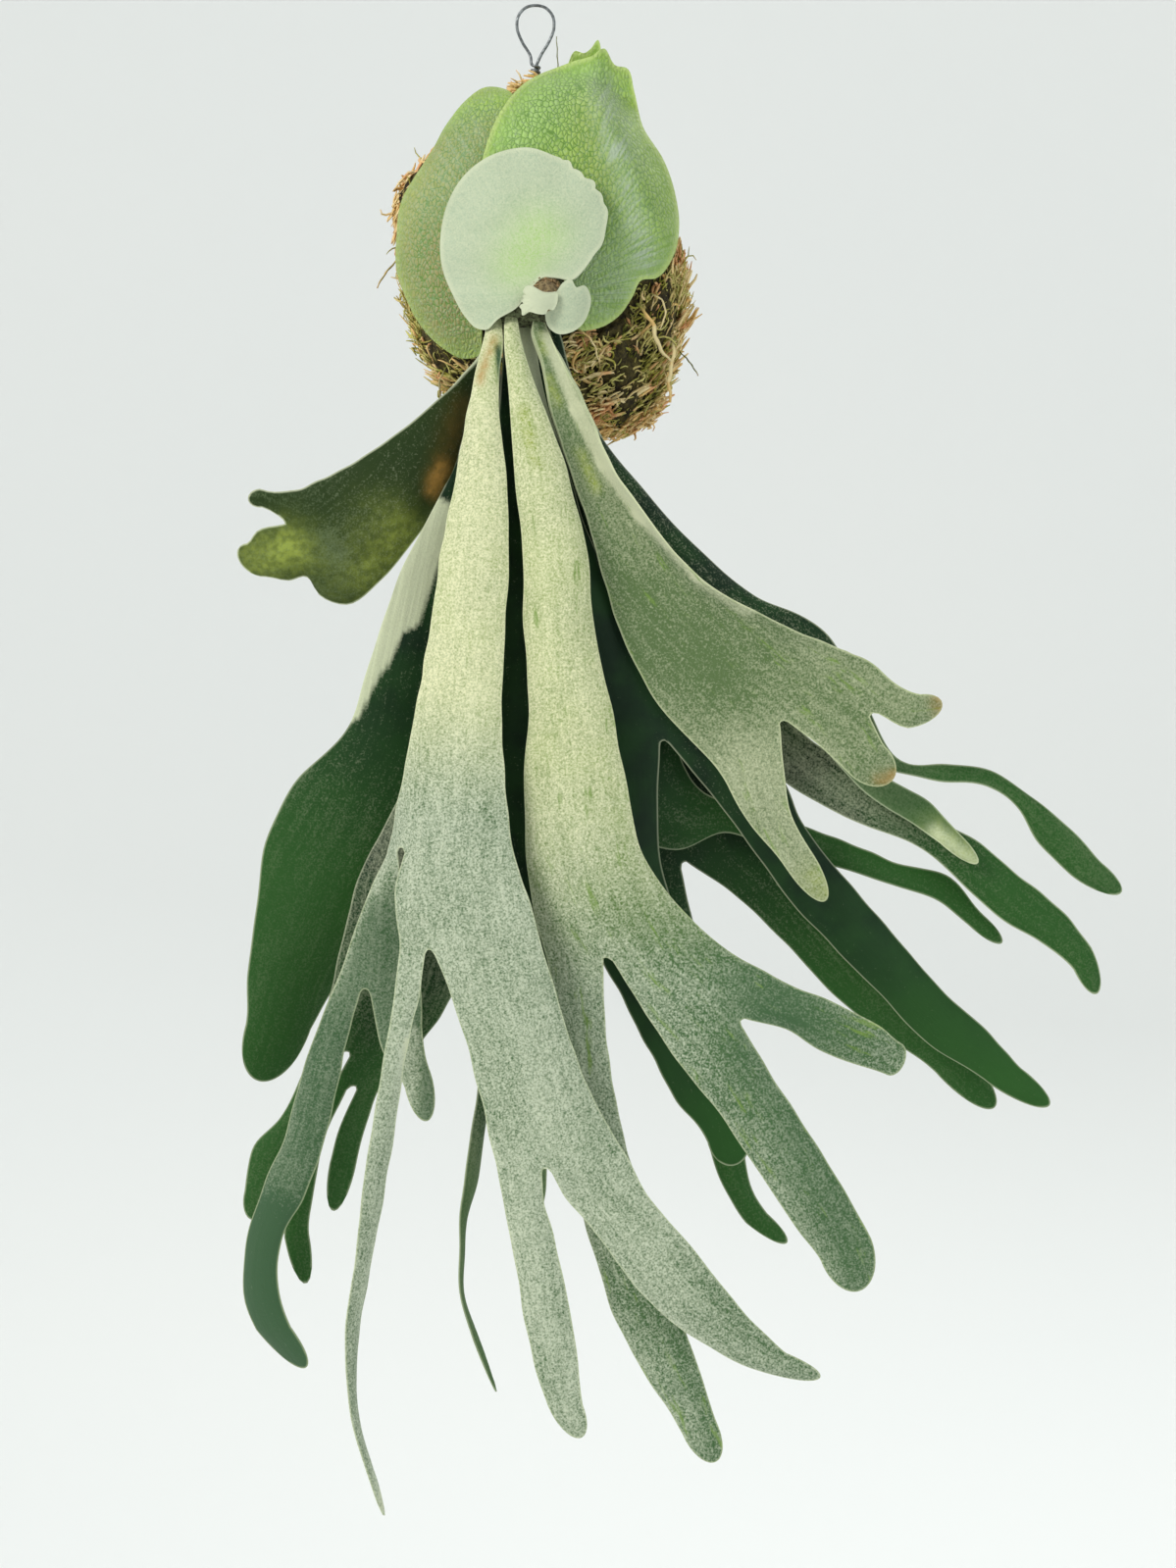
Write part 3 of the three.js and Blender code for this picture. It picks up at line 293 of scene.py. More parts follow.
LOWER_RIGHT = frond([
    (-3, -52, -175, 0, -52, -175), (8, -64, -231, 17, -62, -230, 1), (18, -68, -284, 37, -65, -279, 2),
    (31, -68, -337, 56, -65, -328, 3), (42, -66, -385, 73, -63, -368, 3), (48, -64, -437, 78, -61, -405, 3),
    (73, -61, -446, 86, -59, -415, 2), (98, -58, -437, 102, -57, -423, 1),
    (125, -54, -447, 128, -53, -430, 1), (155, -50, -455, 156, -49, -440, 1),
    (188, -45, -465, 191, -44, -454, 1), (210, -41, -473, 214, -40, -459, 1),
    (227, -37, -487, 234, -36, -481, 1),
], tip=(243, -34, -495))

REAR_FAN = frond([
    (-12, -49, -176, -8, -49, -176), (0, -58, -236, 9, -57, -233, 1), (13, -60, -291, 31, -58, -285, 2),
    (24, -59, -352, 58, -55, -336, 3), (36, -55, -407, 94, -50, -379, 4),
    (51, -49, -467, 119, -44, -435, 4),
], forks=[
    branch(0.385, [
        (56, -47, -493, 84, -45, -491, 3), (65, -44, -534, 97, -42, -532, 3),
        (79, -41, -570, 106, -39, -570, 3), (90, -38, -598, 109, -36, -600, 2),
        (99, -35, -623, 112, -34, -621, 2), (110, -32, -641, 121, -32, -636, 1),
    ], tip=(131, -31, -652)),
    branch(0.615, [
        (102, -42, -468, 135, -39, -456, 3), (130, -38, -494, 159, -36, -483, 3),
        (157, -34, -523, 184, -32, -513, 3), (184, -30, -544, 206, -29, -534, 2),
        (210, -27, -563, 229, -26, -555, 2),
    ], tip=(240, -23, -582)),
])

# ---- The ball, the rhizome and the wire ----------------------------------------------------------

BALL = {"x": 1 * MM, "z": -134 * MM, "across": 78 * MM, "deep": 60 * MM, "high": 90 * MM}
GROWING_TIP = np.array([6, -82, -164]) * MM
TIP_RADIUS = 9 * MM
TIP_CORE = 0.93         # share of that radius from which the scales stand up
RHIZOME_AT = np.array([-3, -60, -165]) * MM
RHIZOME_HALF = np.array([22, 20, 14]) * MM
SCALES = 420            # brown scales on the growing tip

# The ball of moss, as level rings: height, left side, right side, half its depth.
MOSS_RINGS = np.array([
    (-41, 1, 1, 0), (-47, -16, 18, 15), (-58, -36, 42, 34), (-78, -58, 56, 49), (-98, -76, 67, 58),
    (-120, -77, 78, 63), (-142, -76, 82, 64), (-165, -71, 83, 61), (-186, -64, 79, 54), (-204, -52, 72, 43),
    (-219, -26, 65, 28), (-228, 22, 22, 0),
]) * MM

STRAND_FEET = 90_000    # places among which the strands' feet are drawn
STRAND_STEPS = 6        # points along a strand of moss
STRAND_TAPER = np.array([1, 1.2, 1.1, 1.1, 0.9, 0.45])
STALKS = {"half": 12 * MM, "from": -30 * MM, "end": -205 * MM}    # the moss that the stalks hide
STALK_FRONT = -66 * MM  # no strand near the stalks comes further forward

# Straws that hang out of the moss: four points (x, y, z) along each, and half their thickness.
STRAWS = (
    ((53, -54, -164), (61, -48, -173), (64, -42, -183), (71, -29, -191), 1.3),
    ((73, -31, -178), (72, -27, -189), (70, -23, -201), (71, -23, -212), 1.3),
    ((22, -61, -178), (27, -62, -181), (31, -59, -186), (33, -55, -193), 0.7),
    ((60, -48, -158), (66, -45, -161), (68, -41, -168), (65, -41, -176), 0.6),
    ((-46, -30, -194), (-50, -20, -200), (-50, -14, -207), (-46, -12, -214), 0.7),
    ((-68, -29, -135), (-74, -22, -139), (-79, -22, -145), (-83, -22, -152), 0.6),
    ((76, -12, -184), (80, -13, -188), (83, -13, -192), (86, -13, -197), 0.5),
    ((12, -2, -46), (12, -5, -35), (11.6, -6, -26), (11.2, -7, -17), 0.35),
)

WIRE = 1.6 * MM         # diameter of the hanger's wire
EYE_HALF = 9.8 * MM     # from the middle of the eye to the middle of its wire
EYE_HEIGHT = 31 * MM    # from the inner top of the eye down to the twist
EYE_SHAPE = ((0.28, 0.16), (0.72, 0.39), (1, 0.63), (0.93, 0.82), (0.54, 0.96))
TWIST_TURNS = 2.5
TWIST_PITCH = 2.6 * MM
TWIST_RADIUS = 1.95 * MM
STEM_END = -196 * MM
FOOT_LENGTH = 34 * MM


# ---- The shields ---------------------------------------------------------------------------------

LAYER = 3 * MM          # from one shield to the next that lies over it
RIM = 0.9               # share of the dome past which the shields stand off it
RIM_HEIGHT = 0.2        # least height of the dome under a shield, as a share of its depth
CREST = {"x": 31 * MM, "z": -50 * MM, "lean": 0.43, "wide": 11 * MM, "high": 8 * MM}


def rise(start, end, value):
    """Smooth step from 0 at start to 1 at end."""
    share = np.clip((value - start) / (end - start), 0, 1)
    return share**2 * (3 - 2 * share)


def fall(start, end, value):
    """Smooth step from 1 at start to 0 at end."""
    return 1 - rise(start, end, value)


def crest_height(x, z):
    """Fold down the right shield: a bell across, that leans to the right and fades out at its foot."""
    off = x - CREST["x"] - CREST["lean"] * np.maximum(CREST["z"] - z, 0)
    return CREST["high"] * np.exp(-((off / CREST["wide"]) ** 2)) * rise(-158 * MM, -128 * MM, z)


# A shield is an outline of points (x, z) round a centre, laid over the dome of the ball. under is the
# number of shields that it lies over, and forward is what it stands off the dome at x and z. The
# front one has scallops from one corner of its outline to another, of a depth. The last one is the
# bud, a small frond that is still folded up.
SHIELDS = {
    "shield_top": {
        "under": 0,
        "centre": (27, -56),
        "outline": ((17, -40), (18, -31), (21, -26), (26, -27), (29, -25), (33, -20), (35, -27), (41, -42),
                    (44, -60), (38, -78), (24, -86), (12, -74), (12, -54)),
        "forward": lambda x, z: 0 * x,
    },
    "shield_left": {
        "under": 1,
        "centre": (-42, -125),
        "outline": ((-36, -54), (-26, -47), (-13, -51), (-8, -70), (-12, -110), (-22, -138), (-31, -158),
                    (-27, -181), (-29, -190), (-37, -191), (-48, -185), (-60, -172), (-68, -156),
                    (-72, -143), (-72, -126), (-69, -106), (-63, -96), (-54, -83), (-46, -67)),
        "forward": lambda x, z: 4 * MM * rise(-64 * MM, -50 * MM, z),
    },
    "shield_right": {
        "under": 2,
        "centre": (26, -104),
        "outline": ((-24, -80), (-16, -61), (-6, -47), (5, -39), (20, -33), (30, -31), (36, -27), (42, -35),
                    (48, -36), (52, -48), (57, -70), (67, -86), (73, -104), (75, -121), (72, -138),
                    (63, -150), (55, -152), (51, -160), (44, -170), (33, -177), (21, -178), (19, -164),
                    (12, -149), (-6, -146), (-24, -128), (-28, -105)),
        "forward": crest_height,
    },
    "shield_front": {
        "under": 3,
        "centre": (-5, -124),
        "outline": ((-18, -176), (-24, -181), (-29, -180), (-34, -175), (-41, -163), (-47, -147),
                    (-48, -130), (-45, -115), (-35, -98), (-20, -88), (-3, -85), (12, -90), (18, -92),
                    (24, -98), (31, -103), (35, -110), (38, -119), (37, -127), (35, -136), (31, -142),
                    (26, -150), (20, -156), (11, -155), (5, -155), (-1, -161), (-8, -170)),
        "scallops": (11, 16, 1.9),
        "forward": lambda x, z: 21 * MM * fall(-168 * MM, -128 * MM, z) + 3 * MM * rise(8 * MM, 34 * MM, x),
    },
    "shield_young": {
        "under": 3,
        "centre": (18, -170),
        "outline": ((6, -173), (8, -166), (12, -162), (15, -158), (19, -156), (22, -160), (26, -159),
                    (29, -164), (28, -172), (25, -178), (20, -182), (12, -183), (8, -180)),
        "forward": lambda x, z: 20 * MM + 2 * MM * np.cos((x - 18 * MM) / (6 * MM)),
    },
    "frond_bud": {
        "under": 3,
        "centre": (2, -168),
        "outline": ((-1, -160), (-3, -160), (-5, -163), (-3.5, -164.3), (-5.5, -165), (-4.5, -166),
                    (-6, -167.5), (-5, -168.5), (-7, -170), (-6, -171.5), (-5.5, -174.5), (-2, -173),
                    (2, -174), (6, -174), (8, -171.5), (9.7, -172), (11.5, -170), (12.5, -166.5),
                    (12, -163), (9.5, -163.2), (5, -163), (2, -161.5)),
        "forward": lambda x, z: 25 * MM + 1.5 * MM * np.cos((x - 2 * MM) / (4 * MM)),
    },
}
PRESSING = ("shield_top", "shield_left", "shield_right", "shield_front")    # those that lie on the moss


# ---- Sizes and colours ---------------------------------------------------------------------------

def linear(text):
    """Linear colour of an sRGB hex text such as 'a0b48c'."""
    shares = [int(text[i:i + 2], 16) / 255 for i in (0, 2, 4)]
    return tuple(c / 12.92 if c <= 0.04045 else ((c + 0.055) / 1.055) ** 2.4 for c in shares)


def length(name, size, description):
    """A size that a user can change. Its default is given in millimetres."""
    return bpy.props.FloatProperty(
        name=name, description=description, default=size * MM, min=0, precision=4, unit="LENGTH"
    )


def count(name, default, description):
    """A number of things that a user can change."""
    return bpy.props.IntProperty(name=name, description=description, default=default, min=1)


def colour(name, text, description):
    """A colour that a user can change, with its default as sRGB hex text."""
    return bpy.props.FloatVectorProperty(
        name=name, description=description, default=linear(text), min=0, max=1, subtype="COLOR"
    )


class FrondSizes(bpy.types.PropertyGroup):
    row: length("Row", 2.8, "Length of a cell along a frond")
    cell: length("Cell", 2.6, "Width of a cell across a finger")
    blade: length("Blade", 1.2, "Thickness of a frond between its margins")
    margin: length("Margin", 0.6, "Thickness of a frond at its margins")
    stalk: length("Stalk", 3.4, "What a stalk is thicker than its blade, at its foot")
    stalk_fade: length("Stalk fade", 36, "How far up the stalk that thickness fades")
    ripple: length("Ripple", 0.5, "Height of the shallow waves in a blade")
    wobble: length("Wobble", 0.3, "How far the margins waver")


class ShieldSizes(bpy.types.PropertyGroup):
    rings: count("Rings", 44, "Rings of cells from the middle of a shield to its margin")
    spokes: count("Spokes", 176, "Cells round the margin of a shield")
    thickness: length("Thickness", 1.3, "Thickness of a shield in its middle")
    margin: length("Margin", 0.7, "Thickness of a shield at its margin")
    curl: length("Curl", 1.6, "How far the margins of the shields curl up in waves")
    ripple: length("Ripple", 0.35, "Height of the shallow waves in a shield")


class MossSizes(bpy.types.PropertyGroup):
    lumps: length("Lumps", 2.5, "How far the lumps of the ball stand out")
    fluff: length("Fluff", 6, "How thick the strands lie on the core of the ball")
    strands: count("Strands", 5000, "Strands in each of the layers of moss")
    strand: length("Strand", 13, "Length of a strand of moss")
    radius: length("Radius", 0.5, "Radius of a strand at its foot")


class WireSizes(bpy.types.PropertyGroup):
    sides: count("Sides", 14, "Sides of the wire")
    steps: count("Steps", 6, "Rings of the wire from one point of its path to the next")


class FeltColours(bpy.types.PropertyGroup):
    leaf: colour("Leaf", "7f9648", "Green of the felted fronds under their felt")
    # Lower leaf and cool felt are the lower parts of the two front fronds, darker and bluer than leaf and
    # felt above: painted light above, painted shade below.
    lower: colour("Lower leaf", "3d6034", "Green of the lower felted fronds under their felt")
    felt: colour("Felt", "e2e2ba", "White felt, in full")
    cool_felt: colour("Cool felt", "c2cab2", "White felt of the lower fronds")
    # Deep leaf is taken where spots of much less pale lie, which are painted shade on the front fronds.
    deep: colour("Deep leaf", "335634", "Green of the felted fronds where their felt is thinnest")
    rub: colour("Rub", "6f8f38", "Where the felt is rubbed off")
    broad_leaf: colour("Broad leaf", "546c3e", "Green of the broad frond under its felt")
    broad_felt: colour("Broad felt", "c6caa8", "White felt of the broad frond")


class LeafColours(bpy.types.PropertyGroup):
    # Deep leaf is nearly black: painted shade at the feet of the old fronds, which lie behind the front
    # fronds and the shields.
    deep: colour("Deep leaf", "0f2816", "Green of the old fronds near their feet")
    leaf: colour("Leaf", "28541f", "Green of the old fronds near their tips")
    front_leaf: colour("Front leaf", "22350f", "Green of the short frond at the upper left")
    felt: colour("Felt", "7a8c66", "Thin felt on the old fronds")
    fresh: colour("Fresh", "98a648", "Yellow-green of young lobes and tips")
    dry: colour("Dry", "ac823e", "Brown of dry spots")
    pale: colour("Pale", "d5dcb0", "Pale margins of the felted fronds")
    # Strip is also the painted highlight on the rolled left margin of the left frond, where it faces the
    # light.
    strip: colour("Strip", "eaf0cc", "Pale strips and margins of the old fronds")


class ShieldColours(bpy.types.PropertyGroup):
    green: colour("Green", "a2c256", "Bright green of the large shield")
    silver: colour("Silver", "a6b79c", "Silver bloom of the young shields")
    olive: colour("Olive", "aaae60", "Olive green of the oldest shield")
    plum: colour("Plum", "9c8a60", "Brown tint low on the oldest shield")
    # This green is also the painted light on the upper left of the large shield.
    glow: colour("Glow", "a6cc70", "Fresh green of a young shield's middle")
    wool: colour("Wool", "ccd2b4", "White wool of the bud")
    vein: colour("Vein", "5c8430", "Net of veins on the large shield")
    rim: colour("Rim", "c0d482", "Margin of the large shields")
    border: colour("Border", "90b236", "Broad border inside that margin")


class MossColours(bpy.types.PropertyGroup):
    # The core's dark is also painted shade: it shows deep among the strands and at their feet, and between
    # the rhizome's scales.
    soil: colour("Core", "241c0c", "Dark core of the moss ball")
    shade: colour("Core crumbs", "5c5226", "Lighter crumbs of the moss ball's core")
    net: colour("Net", "dcc484", "Pale strands among the living moss")
    olive: colour("Olive", "aaa648", "Living moss")
    deep: colour("Deep", "6a6e2c", "Moss in the shade")
    light: colour("Light", "dcd684", "Moss in the light")
    tan: colour("Tan", "f2c882", "Dry moss")
    orange: colour("Orange", "eeb47e", "Rusty dry moss")
    stub: colour("Stub", "7c8660", "Rhizome under its wool")
    straw: colour("Straw", "fce6b0", "Bleached moss")
    scale: colour("Scale", "b4946a", "Brown scales of the rhizome")
    zinc: colour("Zinc", "8b9092", "Zinc on the wire")


class FernSettings(bpy.types.PropertyGroup):
    fronds: bpy.props.PointerProperty(type=FrondSizes)
    shields: bpy.props.PointerProperty(type=ShieldSizes)
    moss: bpy.props.PointerProperty(type=MossSizes)
    wire: bpy.props.PointerProperty(type=WireSizes)
    felt_colours: bpy.props.PointerProperty(type=FeltColours)
    leaf_colours: bpy.props.PointerProperty(type=LeafColours)
    shield_colours: bpy.props.PointerProperty(type=ShieldColours)
    moss_colours: bpy.props.PointerProperty(type=MossColours)


def settings():
    """The sizes and colours of the fern."""
    return bpy.context.scene.fern


def palette(group):
    """The colours of a group of settings, by name."""
    return {name: tuple(getattr(group, name)) for name in type(group).__annotations__}


# ---- Curves and grids ----------------------------------------------------------------------------
# The faces of a surface are a list of arrays of point numbers: first those of four, then any of three.

RIM_ANGLE = math.radians(55)
SIDEWAYS = np.array([0.31, 0.47, 0.83])    # a direction that no tube starts along


def unit(vectors):
    """The vectors, each made one long."""
    return vectors / np.maximum(np.linalg.norm(vectors, axis=-1, keepdims=True), 1e-12)


def smooth_line(points, place, before=None, after=None):
    """Points of a smooth curve through `points`, at each place: 2.5 is half way from point 2 to point 3.

    Between two points that lie a length apart it is
        start·(1 − s) + end·s + length·(leave·t(1 − t)² + arrive·t²(t − 1)), with s = t²(3 − 2t).
    The heading at a point is the mean of the directions before and after it, each weighted by the length of
    the other. before and after are the neighbours past the ends, where there are any.
    """
    steps = np.diff(points, axis=0)
    first = steps[:1] if before is None else points[:1] - before
    last = steps[-1:] if after is None else after - points[-1:]
    around = np.concatenate([first, steps, last])
    size = np.maximum(np.linalg.norm(around, axis=1, keepdims=True), 1e-12)
    p, q = size[:-1], size[1:]
    heading = (around[:-1] * q / p + around[1:] * p / q) / (p + q)
    i = np.minimum(place.astype(int), len(points) - 2)
    t = (place - i)[:, None]
    blend = t**2 * (3 - 2 * t)
    bend = heading[i] * t * (1 - t) ** 2 + heading[i + 1] * t**2 * (t - 1)
    return points[i] * (1 - blend) + points[i + 1] * blend + size[i + 1] * bend


def ripples(u, v, wave, seed):
    """Shallow irregular waves between about -1 and 1: the sum of six sines of u and v over three, about
    `wave` long, whose directions and phases come from the seed."""
    draw = np.random.default_rng(seed)
    total = 0
    for _ in range(6):
        turn, phase = draw.uniform(0, 2 * np.pi, 2)
        step = 2 * np.pi / (wave * draw.uniform(0.7, 1.6))
        total = total + np.sin(step * (u * np.cos(turn) + v * np.sin(turn)) + phase)
    return total / 3


def circle(total):
    """Even turns round a circle, from 0."""
    return 2 * np.pi * np.arange(total) / total


def turned(radius, height, spokes):
    """Points of a profile turned about the upright axis, ring by ring."""
    turn = circle(spokes)
    out = radius[:, None]
    rings = np.broadcast_arrays(out * np.cos(turn), out * np.sin(turn), height[:, None])
    return np.stack(rings, axis=-1).reshape(-1, 3)


def cells(grid, ring=False):
    """The four corners of each cell of a grid of point numbers. ring joins its last column to its first."""
    if ring:
        grid = np.concatenate([grid, grid[:, :1]], axis=1)
    corners = (grid[:-1, :-1], grid[1:, :-1], grid[1:, 1:], grid[:-1, 1:])
    return np.stack(corners, axis=-1).reshape(-1, 4)


def fan(hub, ring):
    """Triangles from a hub to each side of a closed ring of point numbers."""
    return np.stack([np.full(len(ring), hub), ring, np.roll(ring, -1)], axis=1)


def round_faces(rows, spokes):
    """Faces of a closed round surface: its rings of points from top to bottom, then its two poles."""
    grid = np.arange(rows * spokes).reshape(rows, spokes)
    poles = [fan(rows * spokes, grid[0]), fan(rows * spokes + 1, grid[-1, ::-1])]
    return [cells(grid, ring=True), np.concatenate(poles)]


def flipped(faces):
    """The same faces, turned to the other side."""
    return [part[:, ::-1] for part in faces]


def open_sides(faces):
    """The sides that only one face has, as pairs of point numbers in that face's order."""
    sides = [np.stack([part, np.roll(part, -1, axis=1)], axis=-1).reshape(-1, 2) for part in faces]
    sides = np.concatenate(sides)
    base = sides.max() + 1
    there = sides[:, 0] * base + sides[:, 1]
    back = sides[:, 1] * base + sides[:, 0]
    return sides[~np.isin(there, back)]


def sheet_normals(points, faces):
    """The front-facing direction at each point: the sum of the area vectors of the faces round it. The
    area vector of a face is the cross product of its diagonals, or of two sides of a triangle."""
    total = np.zeros_like(points)
    for part in faces:
        a, b, c, d = (0, 2, 1, 3) if part.shape[1] == 4 else (0, 1, 0, 2)
        areas = np.cross(points[part[:, b]] - points[part[:, a]], points[part[:, d]] - points[part[:, c]])
        for corner in part.T:
            np.add.at(total, corner, areas)
    return unit(total)


def nearest(points, targets):
    """Distance from each point to the nearest target: the least of √(|a|² + |b|² − 2a·b)."""
    best = np.empty(len(points))
    sizes = (targets**2).sum(axis=1)
    batch = 4000
    for start in range(0, len(points), batch):
        some = points[start:start + batch]
        squares = (some**2).sum(axis=1)[:, None] + sizes - 2 * some @ targets.T
        best[start:start + batch] = np.sqrt(np.maximum(squares.min(axis=1), 0))
    return best


def thicken(points, faces, half):
    """A closed shell round a sheet: each point moved by `half` along its normal and against it, and the
    open sides joined by a rim. Returns the shell's points and its faces."""
    move = sheet_normals(points, faces) * half[:, None]
    size = len(points)
    start, end = open_sides(faces).T
    shell = [np.concatenate([part, part[:, ::-1] + size]) for part in faces]
    shell[0] = np.concatenate([shell[0], np.stack([end, start, start + size, end + size], axis=1)])
    return np.concatenate([points + move, points - move]), shell


def tubes(paths, radii, sides):
    """Round tubes with closed ends, one along each path.

    A ring is point + radius·(side·cos a + up·sin a). side is carried along the path: at each point it loses
    its part along the path there. The ends are fans to the path's first and last point. Returns points and
    faces.
    """
    total, steps = paths.shape[:2]
    moves = np.diff(paths, axis=1)
    along = unit(np.concatenate([moves[:, :1], moves[:, :-1] + moves[:, 1:], moves[:, -1:]], axis=1))
    side = np.empty_like(paths)
    last = unit(np.cross(along[:, 0], SIDEWAYS))
    for k in range(steps):
        last = unit(last - along[:, k] * (last * along[:, k]).sum(axis=-1, keepdims=True))
        side[:, k] = last
    up = np.cross(along, side)
    turn = circle(sides)[:, None]
    ring = side[:, :, None] * np.cos(turn) + up[:, :, None] * np.sin(turn)
    rings = paths[:, :, None] + radii[:, :, None, None] * ring
    points = np.concatenate([rings.reshape(total, -1, 3), paths[:, :1], paths[:, -1:]], axis=1)
    offset = (np.arange(total) * (steps * sides + 2))[:, None, None]
    grid = np.arange(steps * sides).reshape(steps, sides)
    ends = [fan(steps * sides, grid[0, ::-1]), fan(steps * sides + 1, grid[-1])]
    faces = [cells(grid, ring=True)[:, ::-1], np.concatenate(ends)]
    return points.reshape(-1, 3), [(part + offset).reshape(-1, part.shape[1]) for part in faces]


def make_piece(name, points, faces, values=None, flat_rim=False):
    """A mesh object with smooth faces. values are named numbers or vectors for each point. flat_rim keeps
    sides sharp whose faces meet at more than RIM_ANGLE."""
    mesh = bpy.data.meshes.new(name)
    corners = np.concatenate([part.ravel() for part in faces])
    sizes = np.concatenate([np.full(len(part), part.shape[1]) for part in faces])
    mesh.vertices.add(len(points))
    mesh.vertices.foreach_set("co", points.astype(np.float32).ravel())
    mesh.loops.add(len(corners))
    mesh.loops.foreach_set("vertex_index", corners.astype(np.int32))
    mesh.polygons.add(len(sizes))
    mesh.polygons.foreach_set("loop_start", (np.cumsum(sizes) - sizes).astype(np.int32))
    mesh.update(calc_edges=True)
    if mesh.validate():
        raise RuntimeError(f"{name} has faces that aren't sound")
    mesh.polygons.foreach_set("use_smooth", np.ones(len(sizes), bool))
    for key, array in (values or {}).items():
        flat = array.ndim == 1
        store = mesh.attributes.new(key, "FLOAT" if flat else "FLOAT_VECTOR", "POINT")
        store.data.foreach_set("value" if flat else "vector", array.astype(np.float32).ravel())
    if flat_rim:
        mesh.set_sharp_from_angle(angle=RIM_ANGLE)
    piece = bpy.data.objects.new(name, mesh)
    bpy.context.scene.collection.objects.link(piece)
    return piece


def finish_piece(piece, material, slot, *nodes):
    """Gives a piece its material and its body, and hides the imported solids that it stands for."""
    piece.data.materials.append(material)
    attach(piece, "root")
    if nodes:
        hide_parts(*nodes)


# ---- Fronds --------------------------------------------------------------------------------------

WOBBLE_FROM = 20 * MM   # length over which the wobble of a blade's margins sets in
FELT_FROM = 35 * MM     # length over which its felt goes over to its own
JOIN_LENGTH = 45 * MM   # length over which it leaves the form of the rib that it grows from
NOTCH_LENGTH = 14 * MM  # length over which its rows bend back round its notches
WOBBLE_WAVE = 22 * MM
FROND_WAVE = 45 * MM
WAVES_FROM = 20 * MM    # where up a frond its shallow waves set in
WAVES_FULL = 90 * MM    # and where they have their full height
FROND_EDGE = 4 * MM     # width over which a frond thins towards its margins
QUARTERS = np.array([0.25, 0.5, 0.75])    # places of the lines that run to a notch, as shares of its width
FOOT = {"reach": 0.0, "bare": 0.0, "middle_line": 0.0, "before": (None, None)}    # where a whole frond starts


def even_steps(total):
    """Even steps up to 1, without 0."""
    return np.arange(1, total + 1) / total


def whole_ribs(blade):
    """The ribs of a blade as rows of nine numbers, in metres."""
    return np.array([tuple(rib) + (0,) * (9 - len(rib)) for rib in blade["ribs"]]) * MM


def widest(blade):
    """The widest rib of a blade."""
    ribs = whole_ribs(blade)
    return np.linalg.norm(ribs[:, 3:6] - ribs[:, :3], axis=1).max()


def crossings(blade, cell):
    """Where the lengthwise lines of a blade cross a rib, as shares of its width.

    A finger has five even cells or more. A blade with forks gives each fork its share, and three lines more
    run to each notch.
    """
    if "forks" not in blade:
        parts = max(5, round(widest(blade) / cell))
        return np.arange(parts + 1) / parts
    last = whole_ribs(blade)[-1]
    gap = NOTCH / np.linalg.norm(last[3:6] - last[:3])
    free = 1 - gap * (len(blade["forks"]) - 1)
    marks = []
    start = 0.0
    for fork in blade["forks"]:
        if marks:
            marks.append(start - gap * QUARTERS[::-1])
        marks.append(start + crossings(fork, cell) * fork["share"] * free)
        start += fork["share"] * free + gap
    return np.concatenate(marks)


def rib_grid(left, right, lifts, along, marks):
    """Points of ribs: left to right at each mark, raised towards the front by bow·4m(1−m) + roll·curl(m)
    at each margin, where curl(m) = (1 − m/ROLL)² down to nothing."""
    front = unit(np.cross(along, right - left))
    mark = marks[:, None]
    bow, roll_left, roll_right = lifts.T[:, :, None]
    curl = np.maximum(0, 1 - marks / ROLL) ** 2
    other = np.maximum(0, 1 - (1 - marks) / ROLL) ** 2
    height = bow * 4 * marks * (1 - marks) + roll_left * curl + roll_right * other
    flat = left[:, None] * (1 - mark) + right[:, None] * mark
    return flat + front[:, None] * height[..., None]


def tip_grid(left, right, bow, step, marks, outward):
    """The rounded end of a finger: half an ellipse, as a square grid (u, v) pressed onto a half disc, where
    across = u·√(1 − v²/2) and outwards = v·√(1 − u²/2). v takes the values of `outward`."""
    middle, half = (left + right) / 2, (right - left) / 2
    front = unit(np.cross(step, half))
    v = outward[:, None]
    u = (2 * marks - 1)[None]
    lift = bow * (1 - u**2) * (1 - v**2)
    across, outwards = u * np.sqrt(1 - v**2 / 2), v * np.sqrt(1 - u**2 / 2)
    return middle + across[..., None] * half + outwards[..., None] * step + lift[..., None] * front


def notch_depths(blade, marks, cell):
    """How deep the notches reach back from a blade's last rib at each mark. They are half circles, so it is
    width·√(q(1 − q)) at each quarter q of the width."""
    depths = np.zeros(len(marks))
    first = 0
    for fork in blade["forks"][:-1]:
        first += len(crossings(fork, cell))
        depths[first:first + len(QUARTERS)] = NOTCH * np.sqrt(QUARTERS * (1 - QUARTERS))
        first += len(QUARTERS)
    return depths


def leaf_values(marks, width, middle_line, reach, bare):
    """For each point its place across, as metres from the middle line of the frond, its reach from the
    foot, and how bare of felt it is, a thinning of the felt that paints shade where it is set."""
    across = middle_line + (marks[None] - 0.5) * width[:, None]
    rows = np.broadcast_arrays(across, reach[:, None], bare[:, None])
    return np.stack(rows, axis=-1)


class Sheet:
    """A surface without thickness. It gathers the points of its grids, with their values, and its faces."""

    def __init__(self):
        self.points = []
        self.values = []
        self.faces = []
        self.size = 0

    def add(self, points, values):
        """Adds rows of points with a row of values for each. Returns the grid of their numbers."""
        shape = points.shape[:-1]
        self.points.append(points.reshape(-1, 3))
        self.values.append(values.reshape(-1, values.shape[-1]))
        grid = self.size + np.arange(np.prod(shape)).reshape(shape)
        self.size += grid.size
        return grid


